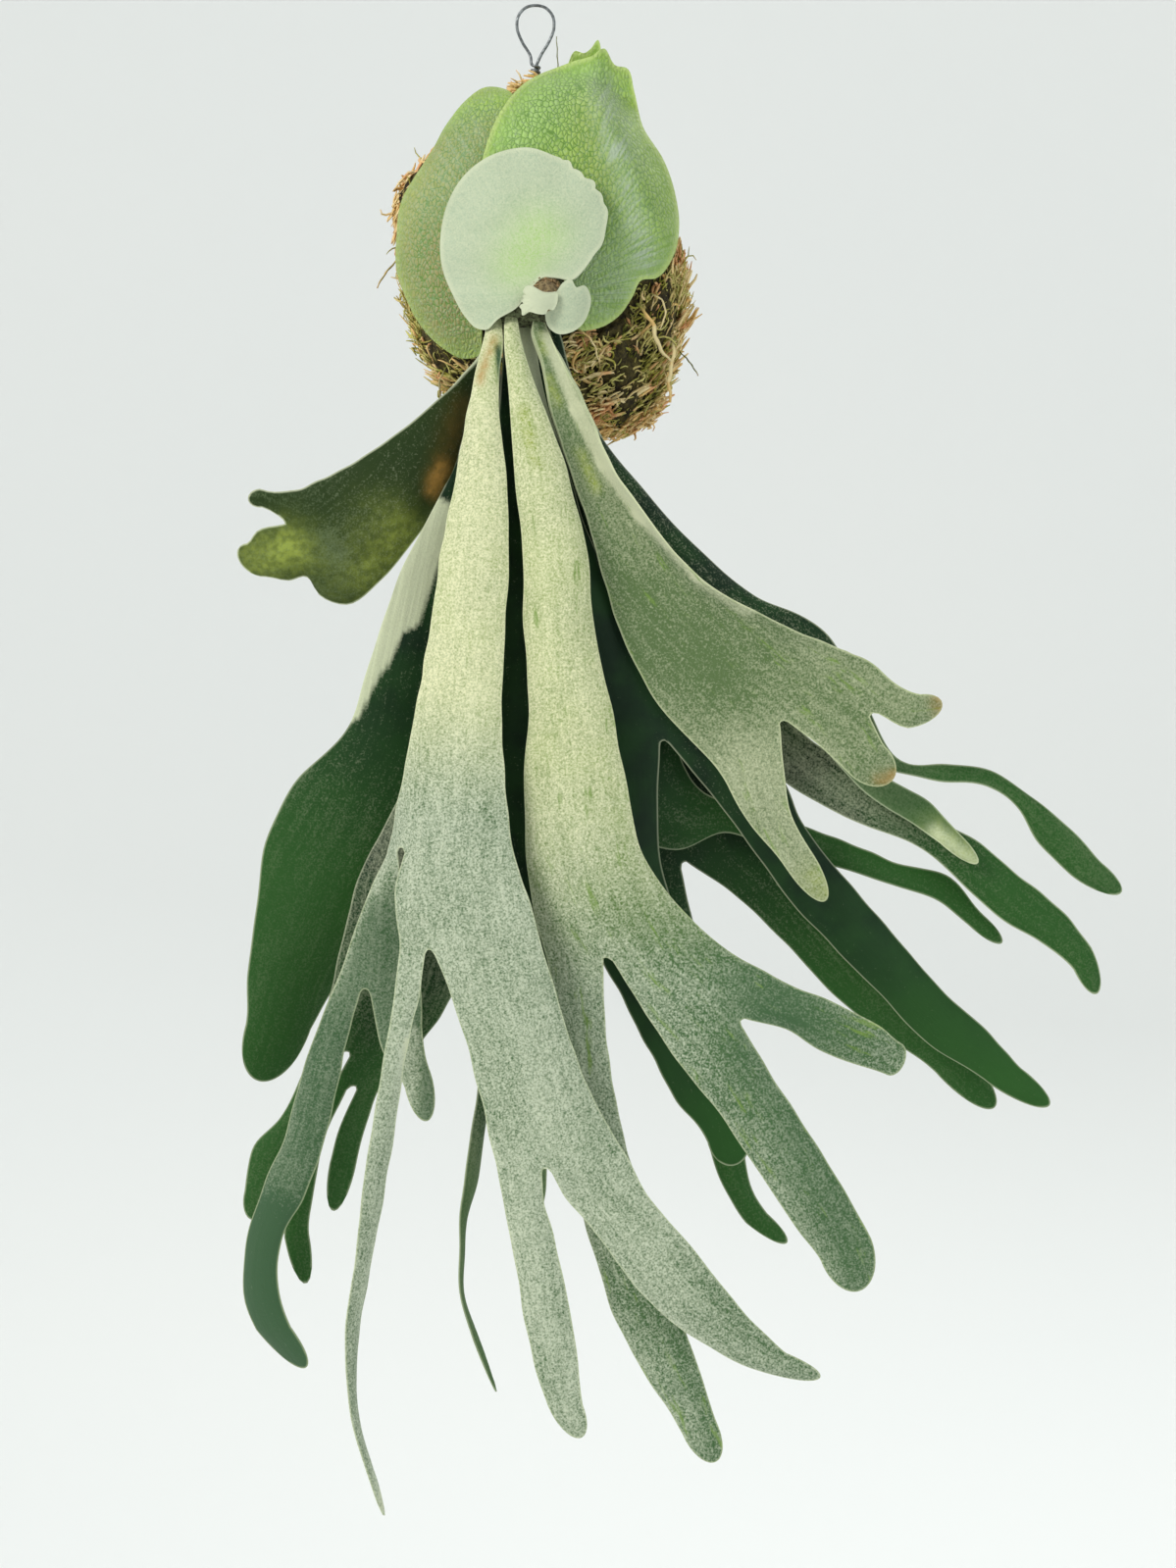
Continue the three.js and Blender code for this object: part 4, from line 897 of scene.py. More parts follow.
def smooth_ribs(blade, ribs, step, sizes, start):
    """Smooth rows of a blade: their left ends, right ends and lifts. step leads from the last rib to the
    tip. Without it the blade ends where its forks start."""
    left, right = ribs[:, :3], ribs[:, 3:6]
    if step is None:
        after = (whole_ribs(blade["forks"][0])[0, :3], whole_ribs(blade["forks"][-1])[0, 3:6])
    else:
        after = (left[-1] + step, right[-1] + step)
    lengths = np.linalg.norm(np.diff((left + right) / 2, axis=0), axis=1)
    parts = np.maximum(1, np.round(lengths / sizes.row)).astype(int)
    place = np.concatenate([[0.0]] + [i + even_steps(total) for i, total in enumerate(parts)])
    i = np.minimum(place.astype(int), len(ribs) - 2)
    blend = rise(0, 1, place - i)[:, None]
    lifts = ribs[i, 6:] * (1 - blend) + ribs[i + 1, 6:] * blend
    left = smooth_line(left, place, start["before"][0], after[0])
    right = smooth_line(right, place, start["before"][1], after[1])
    return left, right, lifts


def add_blade(sheet, blade, sizes, seed, start=FOOT):
    """Adds a blade and all its forks to a sheet, on smooth curves through the ends of its ribs. start is
    the part of a row that it grows from, where it is a fork."""
    marks = crossings(blade, sizes.cell)
    ribs = whole_ribs(blade)
    grows = "points" in start
    if grows:
        span = start["marks"][-1] - start["marks"][0]
        ends = np.concatenate([start["points"][0], start["points"][-1], [start["bow"] * span**2, 0, 0]])
        ribs = np.concatenate([ends[None], ribs])
    step = None
    if "tip" in blade:
        step = np.array(blade["tip"]) * MM - (ribs[-1, :3] + ribs[-1, 3:6]) / 2
    left, right, lifts = smooth_ribs(blade, ribs, step, sizes, start)

    middles = (left + right) / 2
    line = middles if step is None else np.concatenate([middles, middles[-1:] + step])
    here = np.arange(len(middles))
    along = line[np.minimum(here + 1, len(line) - 1)] - line[np.maximum(here - 1, 0)]
    walked = np.concatenate([[0], np.cumsum(np.linalg.norm(np.diff(middles, axis=0), axis=1))])
    reach = walked + start["reach"]
    width = np.linalg.norm(right - left, axis=1)
    sway = unit(right - left) * sizes.wobble * rise(0, WOBBLE_FROM, walked)[:, None]
    left = left + sway * ripples(reach, 0 * reach, WOBBLE_WAVE, seed)[:, None]
    right = right + sway * ripples(reach, 0 * reach, WOBBLE_WAVE, seed + 50)[:, None]
    points = rib_grid(left, right, lifts, along, marks)
    bare = start["bare"] + (blade.get("bare", start["bare"]) - start["bare"]) * rise(0, FELT_FROM, walked)
    values = leaf_values(marks, width, start["middle_line"], reach, bare)
    if step is None:
        back = np.outer(fall(0, NOTCH_LENGTH, walked[-1] - walked), notch_depths(blade, marks, sizes.cell))
        points = points - unit(along)[:, None] * back[..., None]
    if grows:
        points = points + (start["points"] - points[0]) * fall(0, JOIN_LENGTH, walked)[:, None, None]
    if step is not None:
        size = np.linalg.norm(step)
        outward = even_steps(max(3, round(size / sizes.row)))
        end = tip_grid(left[-1], right[-1], lifts[-1, 0], step, marks, outward)
        shrink = width[-1] * np.sqrt(1 - outward**2 / 2)
        further = (reach[-1] + size * outward, np.full(len(outward), bare[-1]))
        points = np.concatenate([points, end])
        values = np.concatenate([values, leaf_values(marks, shrink, start["middle_line"], *further)])
    if grows:
        grid = np.concatenate([start["grid"][None], sheet.add(points[1:], values[1:])])
    else:
        grid = sheet.add(points, values)
    sheet.faces.append(cells(grid))
    if step is None:
        ends = (left[-2], right[-2])
        last_row = {"points": points[-1], "grid": grid[-1], "marks": marks, "width": width[-1], "ends": ends}
        last_row.update(bow=lifts[-1, 0], reach=reach[-1], bare=bare[-1], middle_line=start["middle_line"])
        add_forks(sheet, blade["forks"], sizes, seed, last_row)


def add_forks(sheet, forks, sizes, seed, row):
    """Adds the forks of a blade, each on its part of the blade's last row. The outer margins of the first
    and the last fork go on smoothly from the row before that one."""
    first = 0
    for order, fork in enumerate(forks):
        size = len(crossings(fork, sizes.cell))
        part = slice(first, first + size)
        marks = row["marks"][part]
        add_blade(sheet, fork, sizes, seed + 7 * order + 1, {
            **row,
            "points": row["points"][part],
            "grid": row["grid"][part],
            "marks": marks,
            "middle_line": row["middle_line"] + ((marks[0] + marks[-1]) / 2 - 0.5) * row["width"],
            "before": (
                row["ends"][0] if order == 0 else None,
                row["ends"][1] if order == len(forks) - 1 else None,
            ),
        })
        first += size + len(QUARTERS)


def soft_spots(points, spots):
    """Three tones for each point: fresh, a yellower green, dry, a brown, and pale, more felt or less. Some
    fresh spots are painted light and some spots of less pale are painted shade, as the tables note.

    Each is the sum over its spots of amount·exp(−(distance / radius)^hard), where the distance is to a
    spot's line from one point (x, z) to another, in millimetres.
    """
    flat = points[:, [0, 2]] / MM
    tones = np.zeros((len(points), 3))
    for column, tone in enumerate(("fresh", "dry", "pale")):
        for amount, radius, *line, hard in spots.get(tone, ()):
            start, end = np.array(line, float).reshape(2, 2)
            way = end - start
            along = np.clip(((flat - start) @ way) / max(way @ way, 1e-9), 0, 1)
            off = np.linalg.norm(flat - start - along[:, None] * way, axis=1) / radius
            tones[:, column] += amount * np.exp(-(off**hard))
    return np.clip(tones, -1, 1)


def make_leaf(name, points, faces, thickness, leaf, spots, bare):
    """A leaf: a sheet made thick. Each of its points stores its place on the leaf, whether it is on the
    front, and its tones, with as much felt less as it is bare. Less felt leaves a blade darker green,
    which is painted shade where a blade is set so."""
    shell, faces = thicken(points, faces, thickness / 2)
    tones = soft_spots(shell, spots)
    tones[:, 2] = np.maximum(tones[:, 2] - np.tile(bare, 2), -1)
    values = {"leaf": np.tile(leaf, (2, 1)), "front": np.repeat([1.0, 0.0], len(points)), "tone": tones}
    return make_piece(name, shell, faces, values, flat_rim=True)


def build_frond(name, blade, spots, seed):
    """A frond: its sheet with shallow waves, thickened, thinner at its margins and thicker down its stalk."""
    sizes = settings().fronds
    sheet = Sheet()
    add_blade(sheet, blade, sizes, seed)
    points = np.concatenate(sheet.points)
    across, reach, bare = np.concatenate(sheet.values).T
    faces = [np.concatenate(sheet.faces)]
    margin = nearest(points, points[np.unique(open_sides(faces))])
    waves = ripples(across, reach, FROND_WAVE, seed) * rise(WAVES_FROM, WAVES_FULL, reach)
    points = points + sheet_normals(points, faces) * (sizes.ripple * waves)[:, None]
    stalk = sizes.stalk * np.exp(-reach / sizes.stalk_fade)
    thickness = sizes.margin + (sizes.blade - sizes.margin) * rise(0, FROND_EDGE, margin) + stalk
    return make_leaf(name, points, faces, thickness, np.column_stack([across, reach, margin]), spots, bare)


# ---- Shields -------------------------------------------------------------------------------------

CURL_WAVE = 30 * MM     # from one curl of a margin to the next
CURL_SIZE = 40 * MM     # mean radius from which a shield's margin curls in full
SHIELD_WAVE = 24 * MM
SHIELD_EDGE = 5 * MM    # width over which a shield thins towards its margin
SMALL_SHIELD = 30 * MM  # mean radius up to which a shield has half the rings


def dome_depth(x, z, under):
    """Depth of the dome that the shield over `under` others follows: an ellipsoid, grown by LAYER for
    each of them, and past the RIM of it a straight slope that never comes nearer the wall than
    RIM_HEIGHT of its depth."""
    grown = LAYER * under
    off = np.hypot((x - BALL["x"]) / (BALL["across"] + grown), (z - BALL["z"]) / (BALL["high"] + grown))
    edge = math.sqrt(1 - RIM**2)
    round_part = np.sqrt(np.maximum(1 - off**2, 0))
    height = np.where(off < RIM, round_part, edge - (RIM / edge) * (off - RIM))
    return -BALL["deep"] * np.maximum(height, RIM_HEIGHT) - grown


def outline_curve(shield, total):
    """Points (x, z) at even places along the smooth closed outline of a shield. Between two corners of
    it, round scallops take off their depth times 1 − |cos(π·place)|."""
    corners = np.array(shield["outline"]) * MM
    closed = np.concatenate([corners, corners[:1]])
    place = np.arange(total) * len(corners) / total
    line = smooth_line(closed, place, corners[-1], corners[1])
    first, last, depth = shield.get("scallops", (0, 1, 0))
    wave = depth * MM * (1 - np.abs(np.cos(np.pi * place)))
    wave *= rise(first, first + 1, place) * fall(last - 1, last, place)
    arms = line - np.array(shield["centre"]) * MM
    return line - wave[:, None] * unit(arms)


def build_shield(name, seed):
    """A shield: rings from its centre to its outline, laid over the dome, with shallow waves and a
    margin that curls up here and there. A small one has half the rings. It stores its places as bearings
    and distances from the growing tip."""
    sizes = settings().shields
    shield = SHIELDS[name]
    outline = outline_curve(shield, sizes.spokes)
    hub = np.array(shield["centre"]) * MM
    arms = outline - hub
    size = np.linalg.norm(arms, axis=1)
    rings = sizes.rings if size.mean() > SMALL_SHIELD else sizes.rings // 2
    shares = even_steps(rings) ** 0.8
    flat = np.concatenate([hub[None], (hub + shares[:, None, None] * arms).reshape(-1, 2)])
    share = np.concatenate([[0], np.repeat(shares, sizes.spokes)])
    arm = np.concatenate([[size.mean()], np.tile(size, rings)])
    x, z = flat.T
    curl = sizes.curl * share**9 * (0.5 + 0.5 * ripples(x, z, CURL_WAVE, seed))
    curl = curl * min(1, size.mean() / CURL_SIZE)
    waves = sizes.ripple * ripples(x, z, SHIELD_WAVE, seed + 1)
    y = dome_depth(x, z, shield["under"]) - shield["forward"](x, z) - curl - waves
    points = np.column_stack([x, y, z])
    grid = 1 + np.arange(rings * sizes.spokes).reshape(rings, sizes.spokes)
    faces = [cells(grid, ring=True), fan(0, grid[0])]
    if sheet_normals(points, faces)[:, 1].mean() > 0:
        faces = flipped(faces)
    margin = (1 - share) * arm
    thickness = sizes.margin + (sizes.thickness - sizes.margin) * rise(0, SHIELD_EDGE, margin)
    from_tip = np.column_stack([x, z]) - GROWING_TIP[[0, 2]]
    bearing = np.arctan2(from_tip[:, 0], from_tip[:, 1])
    leaf = np.column_stack([bearing, np.linalg.norm(from_tip, axis=1), margin])
    return make_leaf(f"{name}_leaf", points, faces, thickness, leaf, SHIELD_SPOTS[name], 0 * margin)


def inside(x, z, outline):
    """Whether each point lies inside a closed outline: a ray to its right crosses it an odd number of
    times."""
    start, end = outline, np.roll(outline, -1, axis=0)
    above = (start[:, 1] > z[:, None]) != (end[:, 1] > z[:, None])
    rate = (end[:, 0] - start[:, 0]) / np.where(end[:, 1] == start[:, 1], 1, end[:, 1] - start[:, 1])
    crossing = start[:, 0] + (z[:, None] - start[:, 1]) * rate
    return (above & (x[:, None] < crossing)).sum(axis=1) % 2 == 1


def covered(points, grow):
    """Whether each point lies behind or before a shield that lies on the moss, whose outline is grown by
    `grow`."""
    found = np.zeros(len(points), bool)
    for name in PRESSING:
        outline = outline_curve(SHIELDS[name], total=90)
        hub = np.array(SHIELDS[name]["centre"]) * MM
        arms = outline - hub
        outline = hub + arms * (1 + grow / np.linalg.norm(arms, axis=1, keepdims=True))
        found |= inside(points[:, 0], points[:, 2], outline)
    return found & (points[:, 1] < 0)


# ---- Moss ----------------------------------------------------------------------------------------

BALL_RINGS = 90
BALL_SPOKES = 150
BALL_ROUND = 70 * MM    # mean radius of the ball, to lay its lumps out on
RING_STEP = 20 * MM     # mean distance from one ring of the table to the next
LUMP_WAVE = 34 * MM
BUMP_WAVE = 9 * MM
UNDER_DOME = 2 * MM     # from the dome back to the moss that the shields press flat
PRESSED_DEPTH = 9 * MM  # how far behind the dome the shields still press the moss
NEAR_STALKS = 40 * MM   # half the width in which no strand stands out past STALK_FRONT
TUFT_SPREAD = (0.06, 0.16)    # of the feet in a tuft, as turns and as steps from ring to ring


def moss_points(turn, place, lump=0.0):
    """Points of the moss ball at each turn round it and each place down its rings. A ring is an ellipse
    between its left and right side, and `lump` stands out from it. Behind the shields the front is
    pressed flat onto the dome."""
    ring = smooth_line(MOSS_RINGS[:, :3], place)
    deep = smooth_line(MOSS_RINGS[:, [3, 3, 3]], place)[:, 0]
    z, left, right = ring.T
    points = np.column_stack([
        (left + right) / 2 + ((right - left) / 2 + lump) * np.cos(turn),
        -(deep + lump) * np.sin(turn),
        z - 0.3 * lump * np.sign(BALL["z"] - z),
    ])
    behind = dome_depth(points[:, 0], points[:, 2], 0) + UNDER_DOME
    pressed = covered(points, 2 * MM) & (points[:, 1] < behind)
    points[pressed, 1] = behind[pressed]
    return points


def build_moss_ball():
    """The ball: rings of the moss table, with lumps of two sizes that fade at the seam where the turns
    meet."""
    sizes = settings().moss
    last = len(MOSS_RINGS) - 1
    place = np.repeat(np.linspace(0, last, BALL_RINGS + 2)[1:-1], BALL_SPOKES)
    turn = np.tile(circle(BALL_SPOKES), BALL_RINGS)
    laid_out = (BALL_ROUND * turn, place * RING_STEP)
    seam = rise(0, 0.6, np.pi - np.abs(turn - np.pi))
    lump = ripples(*laid_out, LUMP_WAVE, 3) * seam + 0.5 * ripples(*laid_out, BUMP_WAVE, 4) * seam
    lump = (sizes.lumps * lump - sizes.fluff) * rise(0, 1, place) * fall(last - 1, last, place)
    points = np.concatenate([moss_points(turn, place, lump), MOSS_RINGS[[0, -1]][:, [1, 3, 0]]])
    return make_piece("moss_core", points, flipped(round_faces(BALL_RINGS, BALL_SPOKES)))


def strand_paths(foot, out, lengths, draw, lift, curl, droop):
    """Paths of strands that grow from their feet, most of them along the surface. Each step turns the
    way about the strand's own axis by its curl, lets it sink, halves how fast it rises and keeps it from
    growing inwards."""
    total = len(foot)
    way = unit(lift * out + unit(draw.normal(size=(total, 3))))
    axis = unit(draw.normal(size=(total, 3)))
    curl = curl * draw.uniform(0.4, 1.4, (total, 1))
    paths = [foot]
    for _ in range(STRAND_STEPS - 1):
        way = unit(way + curl * np.cross(axis, way) + np.array([0, 0, -droop]))
        rising = (way * out).sum(axis=1, keepdims=True)
        way = unit(way - np.where(rising < 0, 1.2, 0.5) * rising * out)
        paths.append(paths[-1] + way * lengths[:, None] / STRAND_STEPS)
    return np.stack(paths, axis=1)


def build_strands(name, total, seed, spread, patches, look):
    """Curly strands of moss in tufts, spread thinly over the ball and denser where the patches lie. None
    grows before a shield. look gives the number of tufts, the strands' length and radius as shares of
    the usual, how far they lift off the ball, how they curl at each step and how they sink."""
    sizes = settings().moss
    tuft_count, long_share, wide_share, lift, curl, droop = look
    draw = np.random.default_rng(seed)
    tufts = draw.uniform((0, 0.2), (2 * np.pi, len(MOSS_RINGS) - 1.2), (tuft_count, 2))
    member = draw.integers(0, tuft_count, STRAND_FEET)
    turn, place = (tufts[member] + draw.normal(size=(len(member), 2)) * TUFT_SPREAD).T
    place = np.clip(place, 0.1, len(MOSS_RINGS) - 1.1)
    foot = moss_points(turn, place, -sizes.fluff - 1 * MM)
    out = unit(foot - (BALL["x"], 0, BALL["z"]))
    x, y, z = foot.T
    behind_stalks = (np.abs(x) < STALKS["half"]) & (y < STALKS["from"]) & (z > STALKS["end"])
    pressed = y < dome_depth(x, z, 0) + PRESSED_DEPTH
    beside = ~covered(foot + out * sizes.fluff, -1 * MM) & ~covered(foot, -1 * MM)
    free = (beside | ~pressed) & ~behind_stalks
    weight = spread * np.where(y < 10 * MM, 1, 0.8)    # a little thinner on the back
    for middle_x, middle_z, radius, amount in patches:
        off = np.hypot(x / MM - middle_x, z / MM - middle_z) / radius
        weight += amount * np.exp(-off**2)
    chosen = np.flatnonzero(free & (draw.uniform(0, 1, len(foot)) < weight))[:total]
    foot, out, member = foot[chosen], out[chosen], member[chosen]
    lengths = sizes.strand * long_share * draw.uniform(0.5, 1.3, len(chosen))
    paths = strand_paths(foot, out, lengths, draw, lift, curl, droop)
    too_far = (np.abs(paths[..., 0]) < NEAR_STALKS) & (paths[..., 1] < STALK_FRONT)
    paths[too_far, 1] = STALK_FRONT
    ends = paths[:, -1]
    clear = ~covered(ends, 0.0) | (ends[:, 1] > dome_depth(ends[:, 0], ends[:, 2], 0))
    paths = paths[clear]
    radii = sizes.radius * wide_share * STRAND_TAPER * draw.uniform(0.6, 1.4, (len(paths), 1))
    own = draw.uniform(0, 1, len(paths))
    shade = 0.5 * own + 0.5 * draw.uniform(0, 1, tuft_count)[member[clear]]
    return make_piece(name, *tubes(paths, radii, 3), strand_values(shade, STRAND_STEPS))


def strand_values(shade, steps):
    """What the moss reads at each point of its three-sided strands: a shade for each strand, and the
    share of the strand that lies before the point."""
    along = np.append(np.repeat(np.linspace(0, 1, steps), 3), (0, 1))
    return {"shade": np.repeat(shade, len(along)), "depth": np.tile(along, len(shade))}


def build_straws():
    """Dry straws, each a tube along a smooth line through its four points, thinner towards both ends."""
    steps = 14
    place = np.linspace(0, 3, steps)
    lines = np.stack([smooth_line(np.array(straw[:4]) * MM, place) for straw in STRAWS])
    halves = np.array([straw[4] for straw in STRAWS])[:, None] * MM
    lines[..., 0] += 0.4 * halves * np.sin(7 * place + 2.4 * np.arange(len(STRAWS))[:, None])
    radii = halves * (0.55 + 0.45 * np.sin(np.pi * (place + 0.2) / 3.4)) * (1 + 0.15 * np.sin(11 * place))
    shade = np.linspace(1.2, 0, len(STRAWS))
    return make_piece("moss_straws", *tubes(lines, radii, 3), strand_values(shade, steps))


# ---- Wire and rhizome ----------------------------------------------------------------------------

def wire_path():
    """Points of the hanger: a foot in the moss, the stem, the eye, and the free end wound round the stem."""
    neck = -EYE_HEIGHT
    high = EYE_HEIGHT + WIRE / 2
    root = [(FOOT_LENGTH, 0, STEM_END - 3 * MM)]
    root += [(x * MM, 0, STEM_END + up * MM) for x, up in ((6, -1), (1, 3), (0, 9))]
    root += [(0, 0, neck - 12 * MM), (0, 0, neck - 2 * MM)]
    right = [(across * EYE_HALF, 0, neck + up * high) for across, up in EYE_SHAPE]
    left = [(-x, y, z) for x, y, z in reversed(right)]
    turn = np.pi * (1 + np.arange(1, TWIST_TURNS * 8 + 1) / 4)
    wound = np.column_stack([
        TWIST_RADIUS * np.cos(turn),
        TWIST_RADIUS * np.sin(turn),
        neck - TWIST_PITCH * (turn / np.pi - 1) / 2,
    ])
    return np.concatenate([root, right, [(0, 0, WIRE / 2)], left, wound])


def build_wire():
    """The hanger: one round wire along its path."""
    sizes = settings().wire
    corners = wire_path()
    place = np.linspace(0, len(corners) - 1, (len(corners) - 1) * sizes.steps + 1)
    path = smooth_line(corners, place)
    along = np.concatenate([np.repeat(place, sizes.sides), place[[0, -1]]])
    shell = tubes(path[None], np.full((1, len(path)), WIRE / 2), sizes.sides)
    return make_piece("hanger", *shell, {"shade": along})


def ball_grid(rows, spokes):
    """Directions of a ball's points, row by row from its top to its bottom, with its two poles at the
    end, and its faces."""
    tilt = np.pi * (np.arange(1, rows + 1) / (rows + 1))
    ways = turned(np.sin(tilt), np.cos(tilt), spokes)
    return np.concatenate([ways, [(0, 0, 1), (0, 0, -1)]]), round_faces(rows, spokes)


def lumps(ways, seed):
    """Shallow lumps of a ball, as a share of its radius in each direction."""
    return 0.03 * ripples(ways[:, 0], ways[:, 2], 0.5, seed)[:, None]


def build_rhizome():
    """The rhizome: a stub with rounded sides, |x|³ + |y|³ + |z|³ = 1 on its half lengths, the ball of
    its growing tip, both lumpy, and the brown scales that stand on the tip."""
    ways, faces = ball_grid(rows=28, spokes=44)
    size = (np.abs(ways) ** 3).sum(axis=1, keepdims=True) ** (1 / 3)
    stub = ways / size * RHIZOME_HALF * (1 + lumps(ways, 8)) + RHIZOME_AT
    tip = ways * TIP_RADIUS * (TIP_CORE + lumps(ways, 9)) + GROWING_TIP
    draw = np.random.default_rng(21)
    out = draw.normal(size=(SCALES, 3)) + (0, 0, 1)
    out[:, 1] = np.maximum(out[:, 1], -0.15)
    out = unit(out)
    lengths = draw.uniform(2, 4.5, len(out)) * MM
    paths = strand_paths(GROWING_TIP + out * TIP_RADIUS * TIP_CORE, out, lengths, draw, 0.8, 0.4, 0.0)
    scales = tubes(paths, 0.5 * MM * STRAND_TAPER * np.ones((len(out), 1)), 4)
    points, faces = zip((stub, faces), (tip, faces), scales)
    sizes = [len(part) for part in points]
    starts = np.cumsum([0] + sizes[:-1])
    joined = [np.concatenate([part + start for part, start in zip(kind, starts)]) for kind in zip(*faces)]
    values = {"shade": np.repeat([0, 0.6, 1], sizes)}
    return make_piece("rhizome_scales", np.concatenate(points), joined, values)


# ---- Materials -----------------------------------------------------------------------------------

def connect(tree, node, links):
    """Gives each input, by its name or number, the link or the value for it."""
    for name, value in links.items():
        if isinstance(value, bpy.types.NodeSocket):
            tree.links.new(value, node.inputs[name])
        else:
            node.inputs[name].default_value = value


def add_node(tree, kind, links, **options):
    """A new node with its options, and with a link or a value for each of its inputs in links."""
    node = tree.nodes.new(kind)
    for name, value in options.items():
        setattr(node, name, value)
    connect(tree, node, links)
    return node


def mix(tree, factor, low, high):
    """Colour between low and high."""
    values = [(*value, 1) if isinstance(value, tuple) else value for value in (low, high)]
    links = {0: factor, 6: values[0], 7: values[1]}
    return add_node(tree, "ShaderNodeMix", links, data_type="RGBA").outputs[2]


def calc(tree, operation, *values, clamp=False):
    """Result of a Math node."""
    links = dict(enumerate(values))
    return add_node(tree, "ShaderNodeMath", links, operation=operation, use_clamp=clamp).outputs[0]


def vector_calc(tree, operation, links):
    """Result of a Vector Math node."""
    return add_node(tree, "ShaderNodeVectorMath", links, operation=operation).outputs[0]


def ramp(tree, value, low, high, start=0.0, end=1.0):
    """Smooth step of a value: start up to low, end from high on."""
    links = {"Value": value, "From Min": low, "From Max": high, "To Min": start, "To Max": end}
    return add_node(tree, "ShaderNodeMapRange", links, interpolation_type="SMOOTHSTEP").outputs[0]


def scaled(tree, vector, scale):
    """A vector with each of its parts times a scale of its own."""
    return add_node(tree, "ShaderNodeMapping", {"Vector": vector, "Scale": scale}).outputs[0]


def noise(tree, vector, scale, detail=3.0, rough=0.55):
    """Value of a noise, mostly between 0.3 and 0.7."""
    links = {"Vector": vector, "Scale": scale, "Detail": detail, "Roughness": rough}
    return add_node(tree, "ShaderNodeTexNoise", links).outputs[0]


def drawn_out(tree, flow, across, along, detail, rough):
    """Value of a noise that is drawn out along a leaf, with its scale across the leaf and along it."""
    return noise(tree, scaled(tree, flow, (across, along, 0)), 1.0, detail, rough)


def new_group(name, inputs, outputs):
    """A node group with float or vector sockets. Returns it with what it is given and what it makes."""
    group = bpy.data.node_groups.new(name, "ShaderNodeTree")
    for direction, sockets in (("INPUT", inputs), ("OUTPUT", outputs)):
        for label, kind, default in sockets:
            socket = group.interface.new_socket(label, in_out=direction, socket_type=f"NodeSocket{kind}")
            if default is not None:
                socket.default_value = default
    return group, group.nodes.new("NodeGroupInput").outputs, group.nodes.new("NodeGroupOutput").inputs


def felt_group():
    """Felt of star-shaped hairs: fine grains and larger clumps, as a share of cover and a height. Cover
    is how much of the leaf it hides on the whole."""
    group, given, made = new_group(
        "Felt",
        [
            ("Position", "Vector", None), ("Flow", "Vector", None),
            ("Cover", "Float", 0.5), ("Grain", "Float", 1.0),
        ],
        [("Mask", "Float", None), ("Height", "Float", None)],
    )
    grain = noise(group, given["Position"], 1000.0, 1.0, 0.6)
    clumps = noise(group, given["Position"], 420.0, 2.0, 0.6)
    streaks = drawn_out(group, given["Flow"], 420, 34, 3.0, 0.6)
    drift = drawn_out(group, given["Flow"], 40, 14, 2.0, 0.5)
    uneven = calc(group, "MULTIPLY_ADD", grain, 2.4, calc(group, "MULTIPLY_ADD", clumps, 0.9, -1.65))
    uneven = calc(group, "MULTIPLY_ADD", streaks, 0.8, calc(group, "SUBTRACT", uneven, 0.4))
    uneven = calc(group, "MULTIPLY_ADD", drift, 0.8, calc(group, "SUBTRACT", uneven, 0.4))
    mask = calc(group, "MULTIPLY_ADD", uneven, given["Grain"], given["Cover"], clamp=True)
    group.links.new(mask, made["Mask"])
    group.links.new(calc(group, "MULTIPLY_ADD", grain, 0.6, mask), made["Height"])
    return group


def rub_group():
    """Patches drawn out along a frond, where its felt is rubbed off."""
    group, given, made = new_group("Rubs", [("Flow", "Vector", None), ("Amount", "Float", 0.3)],
                                   [("Mask", "Float", None)])
    patches = drawn_out(group, given["Flow"], 150, 22, 5.0, 0.7)
    low = calc(group, "MULTIPLY_ADD", given["Amount"], -0.3, 0.72)
    group.links.new(ramp(group, patches, low, calc(group, "ADD", low, 0.1)), made["Mask"])
    return group


def rib_group():
    """Fine ridges along a frond, that fan out with it."""
    group, given, made = new_group("Ridges", [("Flow", "Vector", None)], [("Height", "Float", None)])
    fine = drawn_out(group, given["Flow"], 520, 9, 2.0, 0.5)
    broad = drawn_out(group, given["Flow"], 150, 5, 2.0, 0.5)
    group.links.new(calc(group, "MULTIPLY_ADD", broad, 0.8, fine), made["Height"])
    return group


def net_group():
    """Net of veins: thin lines round small cells that are drawn out away from the growing tip. Line is
    the mask of the veins, and Height lets the cells bulge between them."""
    group, given, made = new_group(
        "Net of veins",
        [("Position", "Vector", None), ("Size", "Float", 0.003)],
        [("Line", "Float", None), ("Height", "Float", None)],
    )
    bend = add_node(group, "ShaderNodeTexNoise", {"Vector": given["Position"], "Scale": 90.0}).outputs[1]
    bend = vector_calc(group, "SUBTRACT", {0: bend, 1: (0.5, 0.5, 0.5)})
    bend = vector_calc(group, "SCALE", {0: bend, 3: 0.003})
    place = vector_calc(group, "ADD", {0: given["Position"], 1: bend})
    place = scaled(group, place, (1, 0.6, 0.62))
    near = add_node(group, "ShaderNodeTexVoronoi", {
        "Vector": place, "Scale": calc(group, "DIVIDE", 1.0, given["Size"]), "Randomness": 0.9,
    }, feature="DISTANCE_TO_EDGE").outputs["Distance"]
    group.links.new(ramp(group, near, 0.0, 0.16, 1.0, 0.0), made["Line"])
    group.links.new(ramp(group, near, 0.0, 0.42), made["Height"])
    return group


def drift_group():
    """Soft changes of tone over a surface, from one blotch of about 25 mm to the next."""
    group, given, made = new_group("Drift", [("Position", "Vector", None)], [("Tone", "Float", None)])
    broad = noise(group, given["Position"], 38.0, 3.0, 0.5)
    group.links.new(ramp(group, broad, 0.35, 0.65), made["Tone"])
    return group


EFFECTS = {
    "Felt": felt_group,
    "Rubs": rub_group,
    "Ridges": rib_group,
    "Net of veins": net_group,
    "Drift": drift_group,
}


